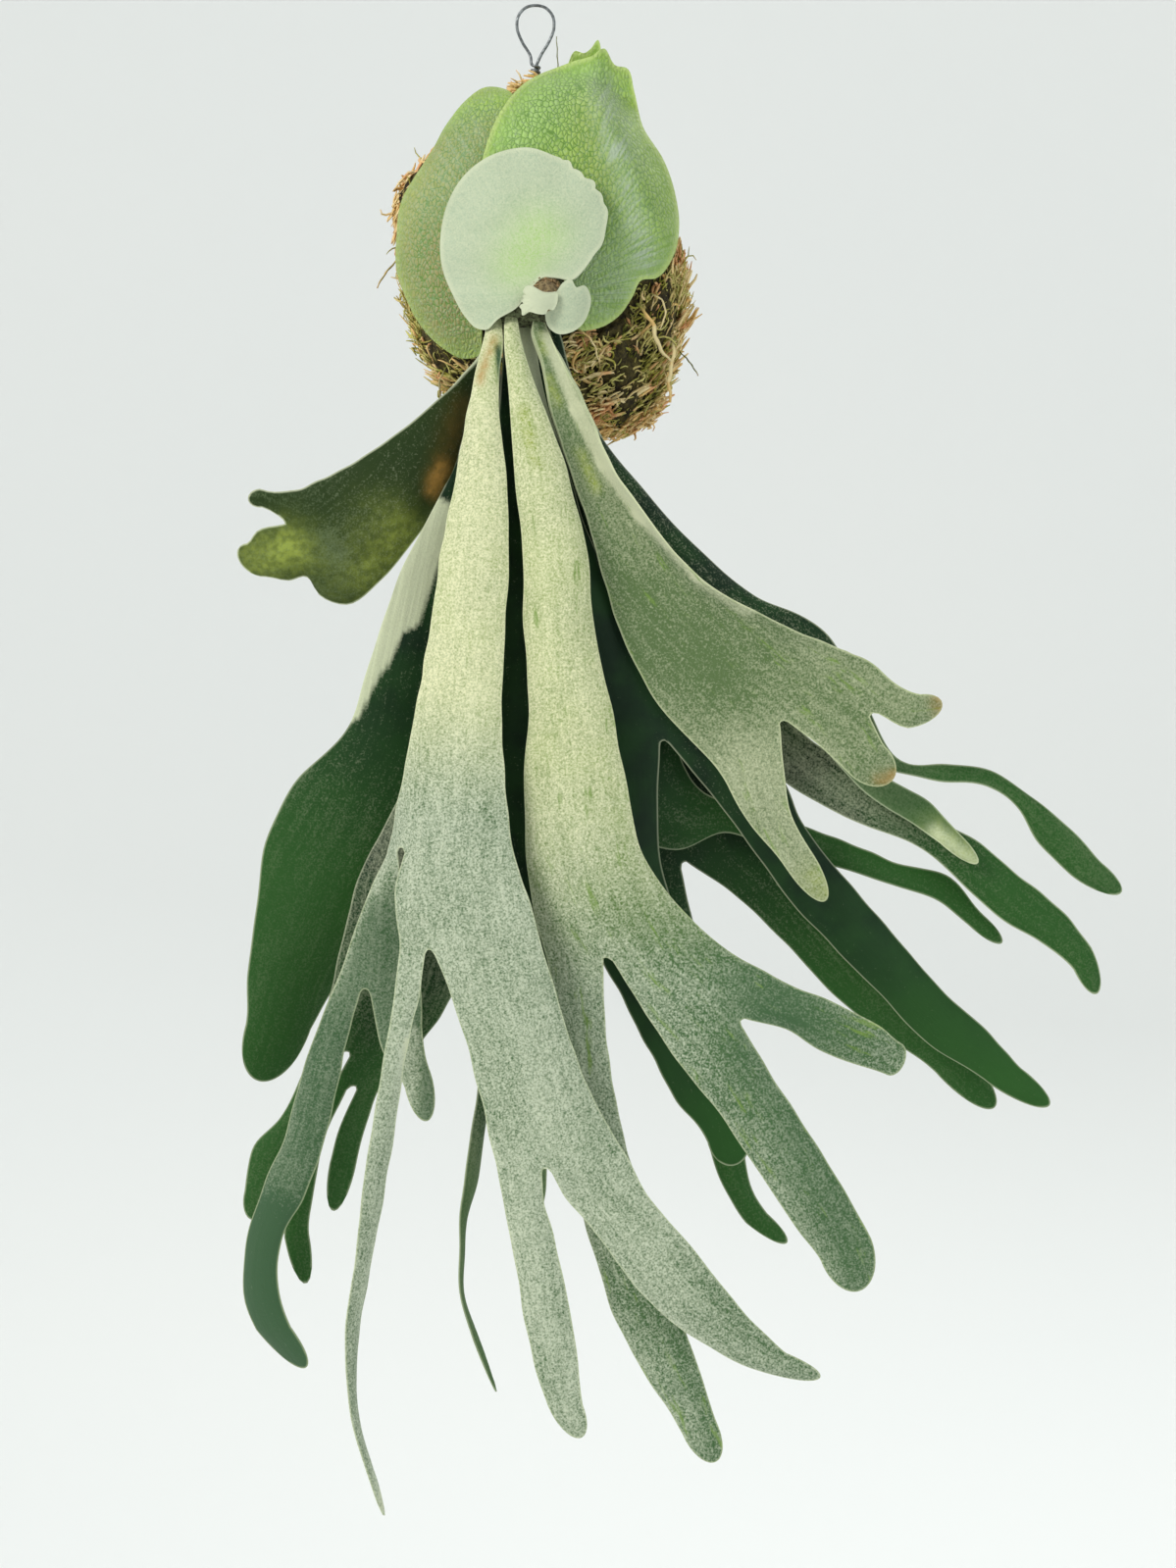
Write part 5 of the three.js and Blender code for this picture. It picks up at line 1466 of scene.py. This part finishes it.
def effect(tree, name, links):
    """A shared effect, placed in a material with its own values."""
    group = bpy.data.node_groups.get(name) or EFFECTS[name]()
    return add_node(tree, "ShaderNodeGroup", links, node_tree=group).outputs


def new_material(name):
    """A material with nothing but its shader. Returns it with its tree."""
    material = bpy.data.materials.new(name)
    material.use_nodes = True
    return material, material.node_tree


def finished(material, links):
    """The material, with a link or a value for each of its shader's inputs in links."""
    connect(material.node_tree, material.node_tree.nodes["Principled BSDF"], links)
    return material


def stored(tree, name):
    """Vector stored with the piece's points: its three parts, and the whole."""
    vector = add_node(tree, "ShaderNodeAttribute", {}, attribute_name=name).outputs["Vector"]
    parts = add_node(tree, "ShaderNodeSeparateXYZ", {0: vector}).outputs
    return parts[0], parts[1], parts[2], vector


def stored_number(tree, name):
    """Number stored with the piece's points."""
    return add_node(tree, "ShaderNodeAttribute", {}, attribute_name=name).outputs["Fac"]


def bump(tree, height, strength, distance):
    """Normals for the relief of a height between 0 and 1."""
    links = {"Height": height, "Strength": strength, "Distance": distance}
    return add_node(tree, "ShaderNodeBump", links).outputs[0]


def object_place(tree):
    """Place of a point in the piece's own axes, in metres."""
    return add_node(tree, "ShaderNodeTexCoord", {}).outputs["Object"]


def frond_material(name, look, colours):
    """Finish of a frond: leaf green that changes towards its tips, soft spots of other tones, felt over it
    that is thicker on the back, rubbed patches, and pale margins. The change towards the tips is painted
    light and shade, and so are some of the spots.

    look gives the cover of felt at the foot and at the tips, its grain, how much is rubbed off, the
    strength of the pale margin, and from where to where along the frond the tone changes, which paints
    light and shade.
    """
    cover_foot, cover_tip, grain, rubbed, rim, near, distant = look
    material, tree = new_material(name)
    place = object_place(tree)
    _, reach, margin, flow = stored(tree, "leaf")
    fresh, dry, pale, _ = stored(tree, "tone")
    front = stored_number(tree, "front")
    far = ramp(tree, reach, near, distant)
    drift = effect(tree, "Drift", {"Position": place})["Tone"]
    mottle = ramp(tree, noise(tree, place, 240.0, 4.0), 0.35, 0.65, 0.6, 1.2)
    fresh = calc(tree, "MULTIPLY", fresh, mottle, clamp=True)
    # Painted light and shade along the frond: the front fronds go from lit leaf to shaded lower leaf, the old
    # ones from nearly black feet in painted shade to green tips.
    leaf = mix(tree, far, colours["leaf"], colours["lower"])
    leaf = mix(tree, calc(tree, "MULTIPLY", drift, 0.3), leaf, colours["lower"])
    # Spots of much less pale take the deep green: painted shade.
    leaf = mix(tree, ramp(tree, pale, -0.25, -0.9), leaf, colours["deep"])
    fresher = calc(tree, "MULTIPLY", fresh, ramp(tree, drift, 0.0, 1.0, 0.6, 1.0))
    leaf = mix(tree, fresher, leaf, colours["fresh"])
    back = calc(tree, "SUBTRACT", 1.0, front)
    cover = ramp(tree, far, 0.0, 1.0, cover_foot, cover_tip)
    cover = calc(tree, "MULTIPLY_ADD", back, 0.3, cover)
    cover = calc(tree, "MULTIPLY_ADD", pale, 0.8, cover)
    cover = calc(tree, "MULTIPLY_ADD", fresh, -0.6 * cover_foot, cover)
    uneven = ramp(tree, far, 0.0, 1.0, 0.8 * grain, grain)
    uneven = calc(tree, "MULTIPLY", uneven, ramp(tree, pale, -0.2, -0.6, 1.0, 0.4))
    uneven = calc(tree, "MULTIPLY", uneven, ramp(tree, pale, 0.4, 1.0, 1.0, 0.3))
    ridges = effect(tree, "Ridges", {"Flow": flow})["Height"]
    cover = calc(tree, "MULTIPLY_ADD", ridges, 0.24, calc(tree, "SUBTRACT", cover, 0.22))
    felt = effect(tree, "Felt", {"Position": place, "Flow": flow, "Cover": cover, "Grain": uneven})
    # The felt goes from lit to cooler, shaded felt along the front fronds: painted light and shade. Full pale
    # spots give the full felt, which is a painted highlight on the left frond's rolled strip.
    white = mix(tree, far, colours["felt"], colours["cool_felt"])
    white = mix(tree, ramp(tree, pale, 0.3, 0.8), white, colours["felt"])
    tone = mix(tree, felt["Mask"], leaf, white)
    rubs = effect(tree, "Rubs", {"Flow": flow, "Amount": rubbed})["Mask"]
    tone = mix(tree, calc(tree, "MULTIPLY", rubs, 0.75), tone, colours["rub"])
    edge = ramp(tree, margin, 0.0002, 0.0012, rim, 0.0)
    tone = mix(tree, edge, tone, colours["pale"])
    blotch = calc(tree, "MULTIPLY_ADD", drift, 0.6, calc(tree, "MULTIPLY", mottle, 0.7))
    dry = calc(tree, "MULTIPLY", dry, blotch)
    tone = mix(tree, calc(tree, "MINIMUM", dry, 1.0), tone, colours["dry"])
    return finished(material, {
        "Base Color": tone,
        "Roughness": ramp(tree, felt["Mask"], 0.0, 1.0, 0.62, 0.9),
        "Normal": bump(tree, calc(tree, "ADD", ridges, felt["Height"]), 0.35, 0.0006),
        "Sheen Weight": colours["sheen"],
        "Sheen Roughness": 0.6,
        "Specular IOR Level": 0.22,
    })


def shield_material(name, tones, net, net_size, felted):
    """Finish of a shield: its own tone, soft spots of other tones, fine streaks that fan out from the
    growing tip, a net of darker veins between bulging cells, a bloom of felt, and a bright margin."""
    material, tree = new_material(name)
    place = object_place(tree)
    _, _, margin, flow = stored(tree, "leaf")
    fresh, dry, pale, _ = stored(tree, "tone")
    drift = effect(tree, "Drift", {"Position": place})["Tone"]
    lines = effect(tree, "Net of veins", {"Position": place, "Size": net_size})
    tone = mix(tree, calc(tree, "MULTIPLY", drift, 0.3), tones["leaf"], tones["shade"])
    tone = mix(tree, fresh, tone, tones["fresh"])
    tone = mix(tree, dry, tone, tones["dry"])
    border = ramp(tree, margin, 0.0, 0.008, tones["border_share"], 0.0)
    tone = mix(tree, border, tone, tones["border"])
    fan_out = vector_calc(tree, "MULTIPLY", {0: flow, 1: (40.0, 45.0, 0.0)})
    streaks = ramp(tree, noise(tree, fan_out, 1.0, 3.0), 0.35, 0.65)
    tone = mix(tree, calc(tree, "MULTIPLY", streaks, 0.2 * net), tone, tones["vein"])
    veins = calc(tree, "MULTIPLY", lines["Line"], ramp(tree, margin, 0.002, 0.016, 0.35 * net, net))
    tone = mix(tree, veins, tone, tones["vein"])
    felt = effect(tree, "Felt", {"Position": place, "Flow": flow, "Cover": felted, "Grain": 0.5})
    between = ramp(tree, streaks, 0.0, 1.0, 1.15, 0.35)
    bloom = calc(tree, "MULTIPLY_ADD", pale, between, felt["Mask"], clamp=True)
    tone = mix(tree, bloom, tone, tones["pale"])
    edge = ramp(tree, margin, 0.0006, 0.0035, tones["rim_share"], 0.0)
    tone = mix(tree, edge, tone, tones["rim"])
    rough = ramp(tree, bloom, 0.0, 1.0, 0.5, 0.85)
    fuzz = calc(tree, "MULTIPLY", felt["Height"], 0.5)
    relief = calc(tree, "MULTIPLY_ADD", lines["Height"], 3.0 * net, fuzz)
    return finished(material, {
        "Base Color": tone,
        "Roughness": rough,
        "Normal": bump(tree, relief, 0.5, 0.0005),
        "Sheen Weight": 0.15,
        "Specular IOR Level": 0.35,
    })


def moss_material(name, dark, middle, light, odd):
    """Finish of moss strands: dark at their feet, which is painted shade deep among them, a tone of their
    own for each, lighter towards their tips, and an odd tone here and there."""
    material, tree = new_material(name)
    place = object_place(tree)
    shade = stored_number(tree, "shade")
    depth = stored_number(tree, "depth")
    patches = noise(tree, place, 55.0, 2.0)
    tone = mix(tree, ramp(tree, shade, 0.2, 0.8), middle, light)
    tone = mix(tree, ramp(tree, patches, 0.5, 0.62), tone, odd)
    # Dark at the feet: painted shade among the strands.
    tone = mix(tree, ramp(tree, depth, 0.0, 0.25), dark, tone)
    grain = noise(tree, place, 1500.0, 2.0)
    tone = mix(tree, calc(tree, "MULTIPLY", grain, 0.15), tone, dark)
    return finished(material, {
        "Base Color": tone,
        "Roughness": 0.85,
        "Specular IOR Level": 0.25,
        "Normal": bump(tree, grain, 0.5, 0.0004),
    })


def core_material(name, dark, light, scales, scale):
    """Finish of the ball's core and of the rhizome: crumbs of dark and lighter tones. Where the stored
    shade rises to 1, the tone goes over to that of the scales."""
    material, tree = new_material(name)
    place = object_place(tree)
    shade = stored_number(tree, "shade")
    crumbs = noise(tree, place, scale, 5.0, 0.7)
    tone = mix(tree, ramp(tree, crumbs, 0.35, 0.7), dark, light)
    tone = mix(tree, calc(tree, "MULTIPLY", shade, ramp(tree, crumbs, 0.25, 0.6)), tone, scales)
    relief = bump(tree, crumbs, 0.8, 0.002)
    return finished(material, {"Base Color": tone, "Roughness": 0.95, "Normal": relief})


def wire_material(name, zinc):
    """Finish of the wire: dull zinc with darker scratches along it."""
    material, tree = new_material(name)
    place = object_place(tree)
    along = stored_number(tree, "shade")
    spots = noise(tree, place, 600.0, 4.0, 0.65)
    bands = noise(tree, add_node(tree, "ShaderNodeCombineXYZ", {0: along}).outputs[0], 3.0, 3.0)
    worn = ramp(tree, calc(tree, "MULTIPLY_ADD", bands, 0.4, spots), 0.55, 0.85)
    tone = mix(tree, worn, zinc, tuple(0.45 * part for part in zinc))
    rough = ramp(tree, spots, 0.3, 0.7, 0.32, 0.55)
    relief = bump(tree, spots, 0.2, 0.0002)
    return finished(material, {"Base Color": tone, "Roughness": rough, "Metallic": 0.85, "Normal": relief})


# ---- The finish of each leaf ---------------------------------------------------------------------
# For a frond: its ribs, its kind, and its look: the share of felt at its foot and at its tips, the
# unevenness of the felt, how much is rubbed off, the strength of its pale margin, and from where to
# where along it, in metres, the tone changes, which paints light and shade. Then its soft spots by tone,
# each with its amount, its radius, the two ends (x, z, x, z) of its line, in millimetres, and how hard
# its edge is.

FRONDS = {
    "frond_front_left": (FRONT_LEFT, "felted", (0.72, 0.64, 0.8, 0.1, 0.35, 0.19, 0.27), {
        "dry": [(0.75, 2.5, -20, -186, -27, -208, 2)],
        # The dark spot at the foot is painted shade beside the gap under the shields, and the pale line down
        # the left branch's margin is a painted highlight where it folds towards the light.
        "pale": [
            (-0.9, 2.5, -18, -190, -16, -208, 2), (0.4, 5, -78, -446, -103, -514, 3),
            (-0.7, 26, -140, -650, -120, -710, 3), (0.5, 5, -61, -540, -75, -776, 3),
            (-0.3, 26, 100, -660, 150, -730, 2),
        ],
    }),
    "frond_front_right": (FRONT_RIGHT, "felted", (0.6, 0.5, 0.8, 0.5, 0.35, 0.22, 0.37), {
        "fresh": [(1.0, 3.5, -5, -224, -2, -236, 2), (0.9, 3, -2, -241, 2, -251, 2)],
        # These spots of less pale are painted shade over the lower fingers.
        "pale": [
            (-0.5, 34, 115, -545, 170, -660, 2), (-0.35, 26, 60, -480, 180, -540, 2),
            (-0.35, 26, 60, -640, 95, -750, 2),
        ],
    }),
    # Its thin felt is partly painted shade on its lower part.
    "frond_right": (RIGHT, "broad", (0.16, 0.24, 0.55, 0.5, 0.5, 0.04, 0.12), {
        "fresh": [
            (0.9, 2.5, 5, -184, 6, -192, 2), (0.7, 3, 8, -206, 12, -218, 2),
            (0.7, 3, 24, -244, 32, -262, 2), (0.8, 10, 144, -460, 149, -470, 2),
        ],
        "dry": [(0.6, 4, 204, -370, 207, -376, 2), (0.6, 4, 176, -410, 184, -408, 2)],
        "pale": [
            (0.9, 3.5, 7, -184, 22, -222, 4), (0.9, 4, 22, -222, 36, -249, 5),
            (0.9, 4.5, 36, -249, 55, -275, 5), (0.9, 4.5, 55, -275, 84, -306, 5),
            (0.7, 4.5, 84, -306, 108, -323, 5), (0.35, 22, 110, -400, 140, -460, 2),
            # Painted shade in the fold beside the pale strip.
            (-0.3, 30, 40, -330, 90, -350, 2),
        ],
    }),
    "frond_upper_left": (UPPER_LEFT, "short", (-0.06, 0.03, 0.3, 0.2, 0.5, 0.06, 0.16), {
        "fresh": [
            (0.85, 13, -126, -292, -140, -296, 2), (0.45, 10, -66, -284, -86, -306, 2),
            (0.25, 16, -76, -280, -100, -312, 2),
        ],
        "dry": [(1.0, 4, -47, -251, -51, -262, 2), (0.15, 8, -36, -220, -46, -252, 2)],
        "pale": [(0.3, 8, -99, -298, -104, -290, 2)],
    }),
    "frond_left": (LEFT, "green", (-0.08, 0.05, 0.3, 0.0, 0.35, 0.16, 0.32), {
        # The pale strip down the left margin is pale felt with a painted highlight, where the rolled margin
        # faces the light.
        "pale": [
            (1.5, 9, -50, -275, -66, -325, 8), (1.5, 7, -68, -322, -80, -348, 7),
            (1.5, 5, -78, -345, -93, -375, 6),
        ],
    }),
    "frond_left_rear": (LEFT_REAR, "green", (0.14, 0.06, 0.3, 0.0, 0.3, 0.3, 0.42), {}),
    "frond_centre_thin": (CENTRE_THIN, "green", (-0.1, 0.4, 0.3, 0.0, 0.3, 0.36, 0.46), {}),
    "frond_centre_rear": (CENTRE_REAR, "green", (-0.15, -0.15, 0.3, 0.0, 0.3, 0.32, 0.5), {
        "pale": [(0.9, 9, -4, -178, 6, -232, 4), (0.1, 16, 75, -385, 100, -420, 2)],
    }),
    "frond_right_rear": (RIGHT_REAR, "green", (0.2, 0.05, 0.35, 0.0, 0.4, 0.28, 0.4), {}),
    "frond_right_middle": (RIGHT_MIDDLE, "green", (0.0, 0.14, 0.3, 0.0, 0.35, 0.2, 0.32), {
        "fresh": [(0.7, 9, 206, -438, 226, -452, 2)],
        "pale": [(0.6, 9, 206, -438, 226, -452, 2), (0.3, 24, 140, -395, 180, -420, 2)],
    }),
    "frond_right_lower": (LOWER_RIGHT, "green", (-0.05, 0.03, 0.3, 0.0, 0.3, 0.2, 0.34), {}),
    "frond_rear_fan": (REAR_FAN, "green", (-0.05, 0.04, 0.3, 0.0, 0.3, 0.25, 0.4), {}),
}

SHIELD_SPOTS = {
    "shield_top": {},
    "shield_left": {
        "fresh": [(1.0, 12, -44, -60, -14, -56, 2), (0.6, 9, -45, -190, -30, -190, 2)],
        "dry": [(0.65, 18, -50, -138, -42, -168, 2), (0.8, 3, -52, -80, -58, -88, 2)],
        "pale": [(0.25, 14, -34, -74, -50, -110, 2)],
    },
    "shield_right": {
        # Painted light on the upper left, where the light falls on the shield.
        "fresh": [(0.9, 18, 20, -44, -14, -80, 2)],
        "dry": [(0.2, 10, 26, -60, 36, -110, 2)],
        "pale": [
            (0.6, 8, 44, -86, 57, -140, 2), (0.55, 7, 34, -46, 42, -84, 2),
            (0.5, 24, 28, -150, 50, -160, 2),
        ],
    },
    "shield_front": {
        "fresh": [(0.85, 16, -6, -146, 2, -132, 2)],
    },
    "shield_young": {},
    "frond_bud": {},
}

# The layers of moss: the seed of its draws, how thickly it lies all over, the patches (x, z,
# radius, amount) where it lies thicker, its look (tufts, length, radius, lift, curl, droop), and
# its middle, light and odd colour.
MOSS_LAYERS = {
    "moss_fine": (31, 0.4, (), (3000, 0.75, 0.75, 0.9, 1.4, 0.0), ("olive", "light", "deep")),
    "moss_curly": (33, 0.3, (
        (-72, -150, 12, 1.0), (-68, -172, 12, 1.0), (-60, -194, 12, 1.0), (-44, -206, 10, 1.0),
        (44, -184, 20, 0.6), (70, -150, 14, 0.5), (62, -200, 14, 0.6),
    ), (1000, 1.2, 1.0, 0.9, 1.3, 0.02), ("net", "light", "olive")),
    "moss_dry": (32, 0.06, (
        (-72, -98, 14, 1.0), (-56, -74, 10, 0.8), (-12, -45, 10, 0.6), (-76, -141, 7, 0.4),
        (-47, -203, 9, 0.4), (26, -178, 10, 0.5), (79, -140, 11, 1.0), (77, -170, 8, 1.0),
        (60, -190, 6, 0.5), (32, -214, 10, 0.8), (56, -222, 10, 1.0),
    ), (800, 1.2, 1.5, 1.0, 1.2, 0.04), ("tan", "straw", "orange")),
}

# The stage, in metres. A light has its place, its target, its size, its power and its colour.
FLOOR_HEIGHT = -1.3
FLOOR_FLAT = 2.0        # radius of its flat part
FLOOR_BEND = 4.0        # radius of the bend round it
WALL_TOP = 4.9          # above the floor
LIGHTS = {
    "key": ((-2.2, -2.3, 1.5), (0, 0, -0.35), 1.2, 78, (1.0, 0.985, 0.94)),
    "fill": ((2.4, -1.9, -0.3), (0, 0, -0.4), 1.6, 14, (0.9, 1.0, 0.98)),
    "back": ((0.8, 2.4, 1.3), (0, 0, -0.4), 1.8, 30, (1.0, 1.0, 1.0)),
    "backdrop": ((0, 1.5, 3.2), (0, 5.5, 1.0), 2.5, 60, (1.0, 1.0, 1.0)),
}


# ---- Operators -----------------------------------------------------------------------------------

class FERN_OT_fronds(bpy.types.Operator):
    """Builds the twelve fronds and gives each its own finish"""

    bl_idname = "fern.build_fronds"
    bl_label = "Build Fronds"

    def execute(self, context):
        felt = palette(settings().felt_colours)
        leaf = palette(settings().leaf_colours)
        felted = {**felt, **{name: leaf[name] for name in ("fresh", "dry", "pale")}, "sheen": 0.2}
        broad = {
            **felted, "leaf": felt["broad_leaf"], "lower": felt["broad_leaf"], "deep": felt["broad_leaf"],
            "cool_felt": felt["broad_felt"], "felt": felt["broad_felt"],
        }
        # The old fronds' feet take the nearly black deep leaf, painted shade behind the front fronds, and
        # their tips the leaf green.
        green = {
            **leaf, "leaf": leaf["deep"], "lower": leaf["leaf"], "felt": leaf["strip"], "pale": leaf["strip"],
            "cool_felt": leaf["felt"], "rub": leaf["leaf"], "sheen": 0.0,
        }
        short = {**green, "leaf": leaf["front_leaf"], "lower": leaf["front_leaf"]}
        kinds = {"felted": felted, "broad": broad, "green": green, "short": short}
        for seed, (name, (blade, kind, look, spots)) in enumerate(FRONDS.items()):
            piece = build_frond(f"{name}_leaf", blade, spots, 11 * seed + 1)
            slot = "felted_frond" if kind in ("felted", "broad") else "green_frond"
            finish_piece(piece, frond_material(name, look, kinds[kind]), slot, name)
        return {"FINISHED"}


class FERN_OT_shields(bpy.types.Operator):
    """Builds the shield fronds on the ball, and the woolly bud"""

    bl_idname = "fern.build_shields"
    bl_label = "Build Shields"

    def execute(self, context):
        # The looks give the colours, the slot, the strength of the net of veins, the size of its cells in
        # millimetres and how felted the shield is.
        tone = palette(settings().shield_colours)
        bright = {
            **tone, "leaf": tone["green"], "shade": tone["vein"], "fresh": tone["glow"], "dry": tone["plum"],
            "pale": tone["silver"], "rim_share": 0.7, "border_share": 0.5,
        }
        old = {**bright, "leaf": tone["olive"], "fresh": tone["green"], "rim_share": 0.2, "border_share": 0.3}
        young = {
            **bright, "leaf": tone["silver"], "shade": tone["silver"], "pale": tone["wool"],
            "rim": tone["wool"], "rim_share": 0.6, "border_share": 0.0,
        }
        bud = {**young, "leaf": tone["wool"]}
        looks = {
            "shield_top": (bright, "green_shield", 0.5, 1.9, 0.0),
            "shield_left": (old, "old_shield", 1.1, 2.0, 0.12),
            "shield_right": (bright, "green_shield", 0.95, 2.2, 0.05),
            "shield_front": (young, "pale_shield", 0.12, 1.3, 0.4),
            "shield_young": (young, "pale_shield", 0.05, 2.2, 0.5),
            "frond_bud": (bud, "pale_shield", 0.0, 2.2, 0.6),
        }
        for seed, (name, (colours, slot, net, size, felted)) in enumerate(looks.items()):
            material = shield_material(name, colours, net, size * MM, felted)
            finish_piece(build_shield(name, 5 * seed + 101), material, slot, name)
        return {"FINISHED"}


class FERN_OT_moss(bpy.types.Operator):
    """Builds the ball of moss: its core, its living strands and its dry ones"""

    bl_idname = "fern.build_moss"
    bl_label = "Build Moss"

    def execute(self, context):
        tone = palette(settings().moss_colours)
        # The core's dark tone is painted shade where it shows between the strands.
        core = core_material("moss_core", tone["soil"], tone["shade"], tone["deep"], 300.0)
        finish_piece(build_moss_ball(), core, "moss", "moss_ball")
        for name, (seed, spread, patches, look, colours) in MOSS_LAYERS.items():
            material = moss_material(name, tone["soil"], *(tone[key] for key in colours))
            strands = build_strands(name, settings().moss.strands, seed, spread, patches, look)
            finish_piece(strands, material, "moss")
        straw = moss_material("moss_straws", tone["deep"], tone["deep"], tone["straw"], tone["tan"])
        finish_piece(build_straws(), straw, "moss")
        return {"FINISHED"}


class FERN_OT_rhizome(bpy.types.Operator):
    """Builds the rhizome with its scaly growing tip"""

    bl_idname = "fern.build_rhizome"
    bl_label = "Build Rhizome"

    def execute(self, context):
        tone = palette(settings().moss_colours)
        # Its dark crumbs are partly painted shade between the scales.
        material = core_material("rhizome", tone["soil"], tone["stub"], tone["scale"], 500.0)
        finish_piece(build_rhizome(), material, "rhizome", "rhizome")
        return {"FINISHED"}


class FERN_OT_wire(bpy.types.Operator):
    """Builds the wire hanger with its twisted eye"""

    bl_idname = "fern.build_wire"
    bl_label = "Build Wire"

    def execute(self, context):
        material = wire_material("wire", palette(settings().moss_colours)["zinc"])
        finish_piece(build_wire(), material, "wire", "wire_hanger")
        return {"FINISHED"}


def area_light(name, place, target, size, power, tint):
    """A soft square light that faces its target."""
    data = bpy.data.lights.new(name, "AREA")
    data.size = size
    data.energy = power
    data.color = tint
    light = bpy.data.objects.new(name, data)
    light.location = place
    way = np.array(target) - np.array(place)
    light.rotation_euler = (math.atan2(math.hypot(way[0], way[1]), -way[2]), 0, math.atan2(-way[0], way[1]))
    bpy.context.scene.collection.objects.link(light)


def build_floor():
    """The floor: a flat disc that bends up into a round wall, as a profile turned about the upright axis."""
    bend = np.linspace(0, np.pi / 2, 24)
    flat = np.linspace(0.2, FLOOR_FLAT - 0.1, 12)
    radius = np.concatenate([flat, FLOOR_FLAT + FLOOR_BEND * np.sin(bend), [FLOOR_FLAT + FLOOR_BEND]])
    height = np.concatenate([0 * flat, FLOOR_BEND * (1 - np.cos(bend)), [WALL_TOP]]) + FLOOR_HEIGHT
    spokes = 96
    points = np.concatenate([turned(radius, height, spokes), [(0, 0, FLOOR_HEIGHT)]])
    grid = np.arange(len(radius) * spokes).reshape(-1, spokes)
    floor = make_piece("floor", points, flipped([cells(grid, ring=True), fan(len(points) - 1, grid[0])]))
    material, tree = new_material("floor")
    tone = mix(tree, noise(tree, object_place(tree), 0.6, 1.0), (0.80, 0.82, 0.81), (0.84, 0.85, 0.83))
    floor.data.materials.append(finished(material, {"Base Color": tone, "Roughness": 0.9}))
    return floor


class FERN_OT_stage(bpy.types.Operator):
    """Builds the plain pale floor, the soft light and the camera"""

    bl_idname = "fern.build_stage"
    bl_label = "Build Stage"

    def execute(self, context):
        build_floor()
        for name, look in LIGHTS.items():
            area_light(name, *look)
        world = bpy.data.worlds.new("daylight")
        world.use_nodes = True
        background = world.node_tree.nodes["Background"]
        background.inputs["Color"].default_value = (0.94, 0.97, 0.98, 1)
        background.inputs["Strength"].default_value = 0.55
        scene = context.scene
        scene.world = world
        scene.view_settings.view_transform = "Standard"

        data = bpy.data.cameras.new("camera")
        data.lens = 86.6
        data.sensor_width = 36
        camera = bpy.data.objects.new("camera", data)
        camera.location = (27.8 * MM, -2, -412 * MM)
        camera.rotation_euler = (math.pi / 2, 0, 0)
        scene.collection.objects.link(camera)
        scene.camera = camera
        return {"FINISHED"}


OPERATORS = (FERN_OT_stage, FERN_OT_wire, FERN_OT_moss, FERN_OT_rhizome, FERN_OT_shields, FERN_OT_fronds)


class FERN_PT_panel(bpy.types.Panel):
    """Lists the steps that build the fern, and its sizes and colours"""

    bl_idname = "FERN_PT_panel"
    bl_label = "Staghorn Fern"
    bl_space_type = "VIEW_3D"
    bl_region_type = "UI"
    bl_category = "Fern"

    def draw(self, context):
        for operator in OPERATORS:
            self.layout.operator(operator.bl_idname)
        for label in FernSettings.__annotations__:
            group = getattr(context.scene.fern, label)
            box = self.layout.box()
            box.label(text=label.replace("_", " ").capitalize())
            for name in type(group).__annotations__:
                box.prop(group, name)


CLASSES = (
    FrondSizes, ShieldSizes, MossSizes, WireSizes, FeltColours, LeafColours, ShieldColours, MossColours,
    FernSettings, *OPERATORS, FERN_PT_panel,
)


def register():
    for item in CLASSES:
        bpy.utils.register_class(item)
    bpy.types.Scene.fern = bpy.props.PointerProperty(type=FernSettings)


def unregister():
    del bpy.types.Scene.fern
    for item in reversed(CLASSES):
        bpy.utils.unregister_class(item)


def main():
    """Builds the whole plant round the frame."""
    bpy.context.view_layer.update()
    register()
    for operator in OPERATORS:
        group, step_name = operator.bl_idname.split(".")
        getattr(getattr(bpy.ops, group), step_name)()


if __name__ == "__main__":
    main()
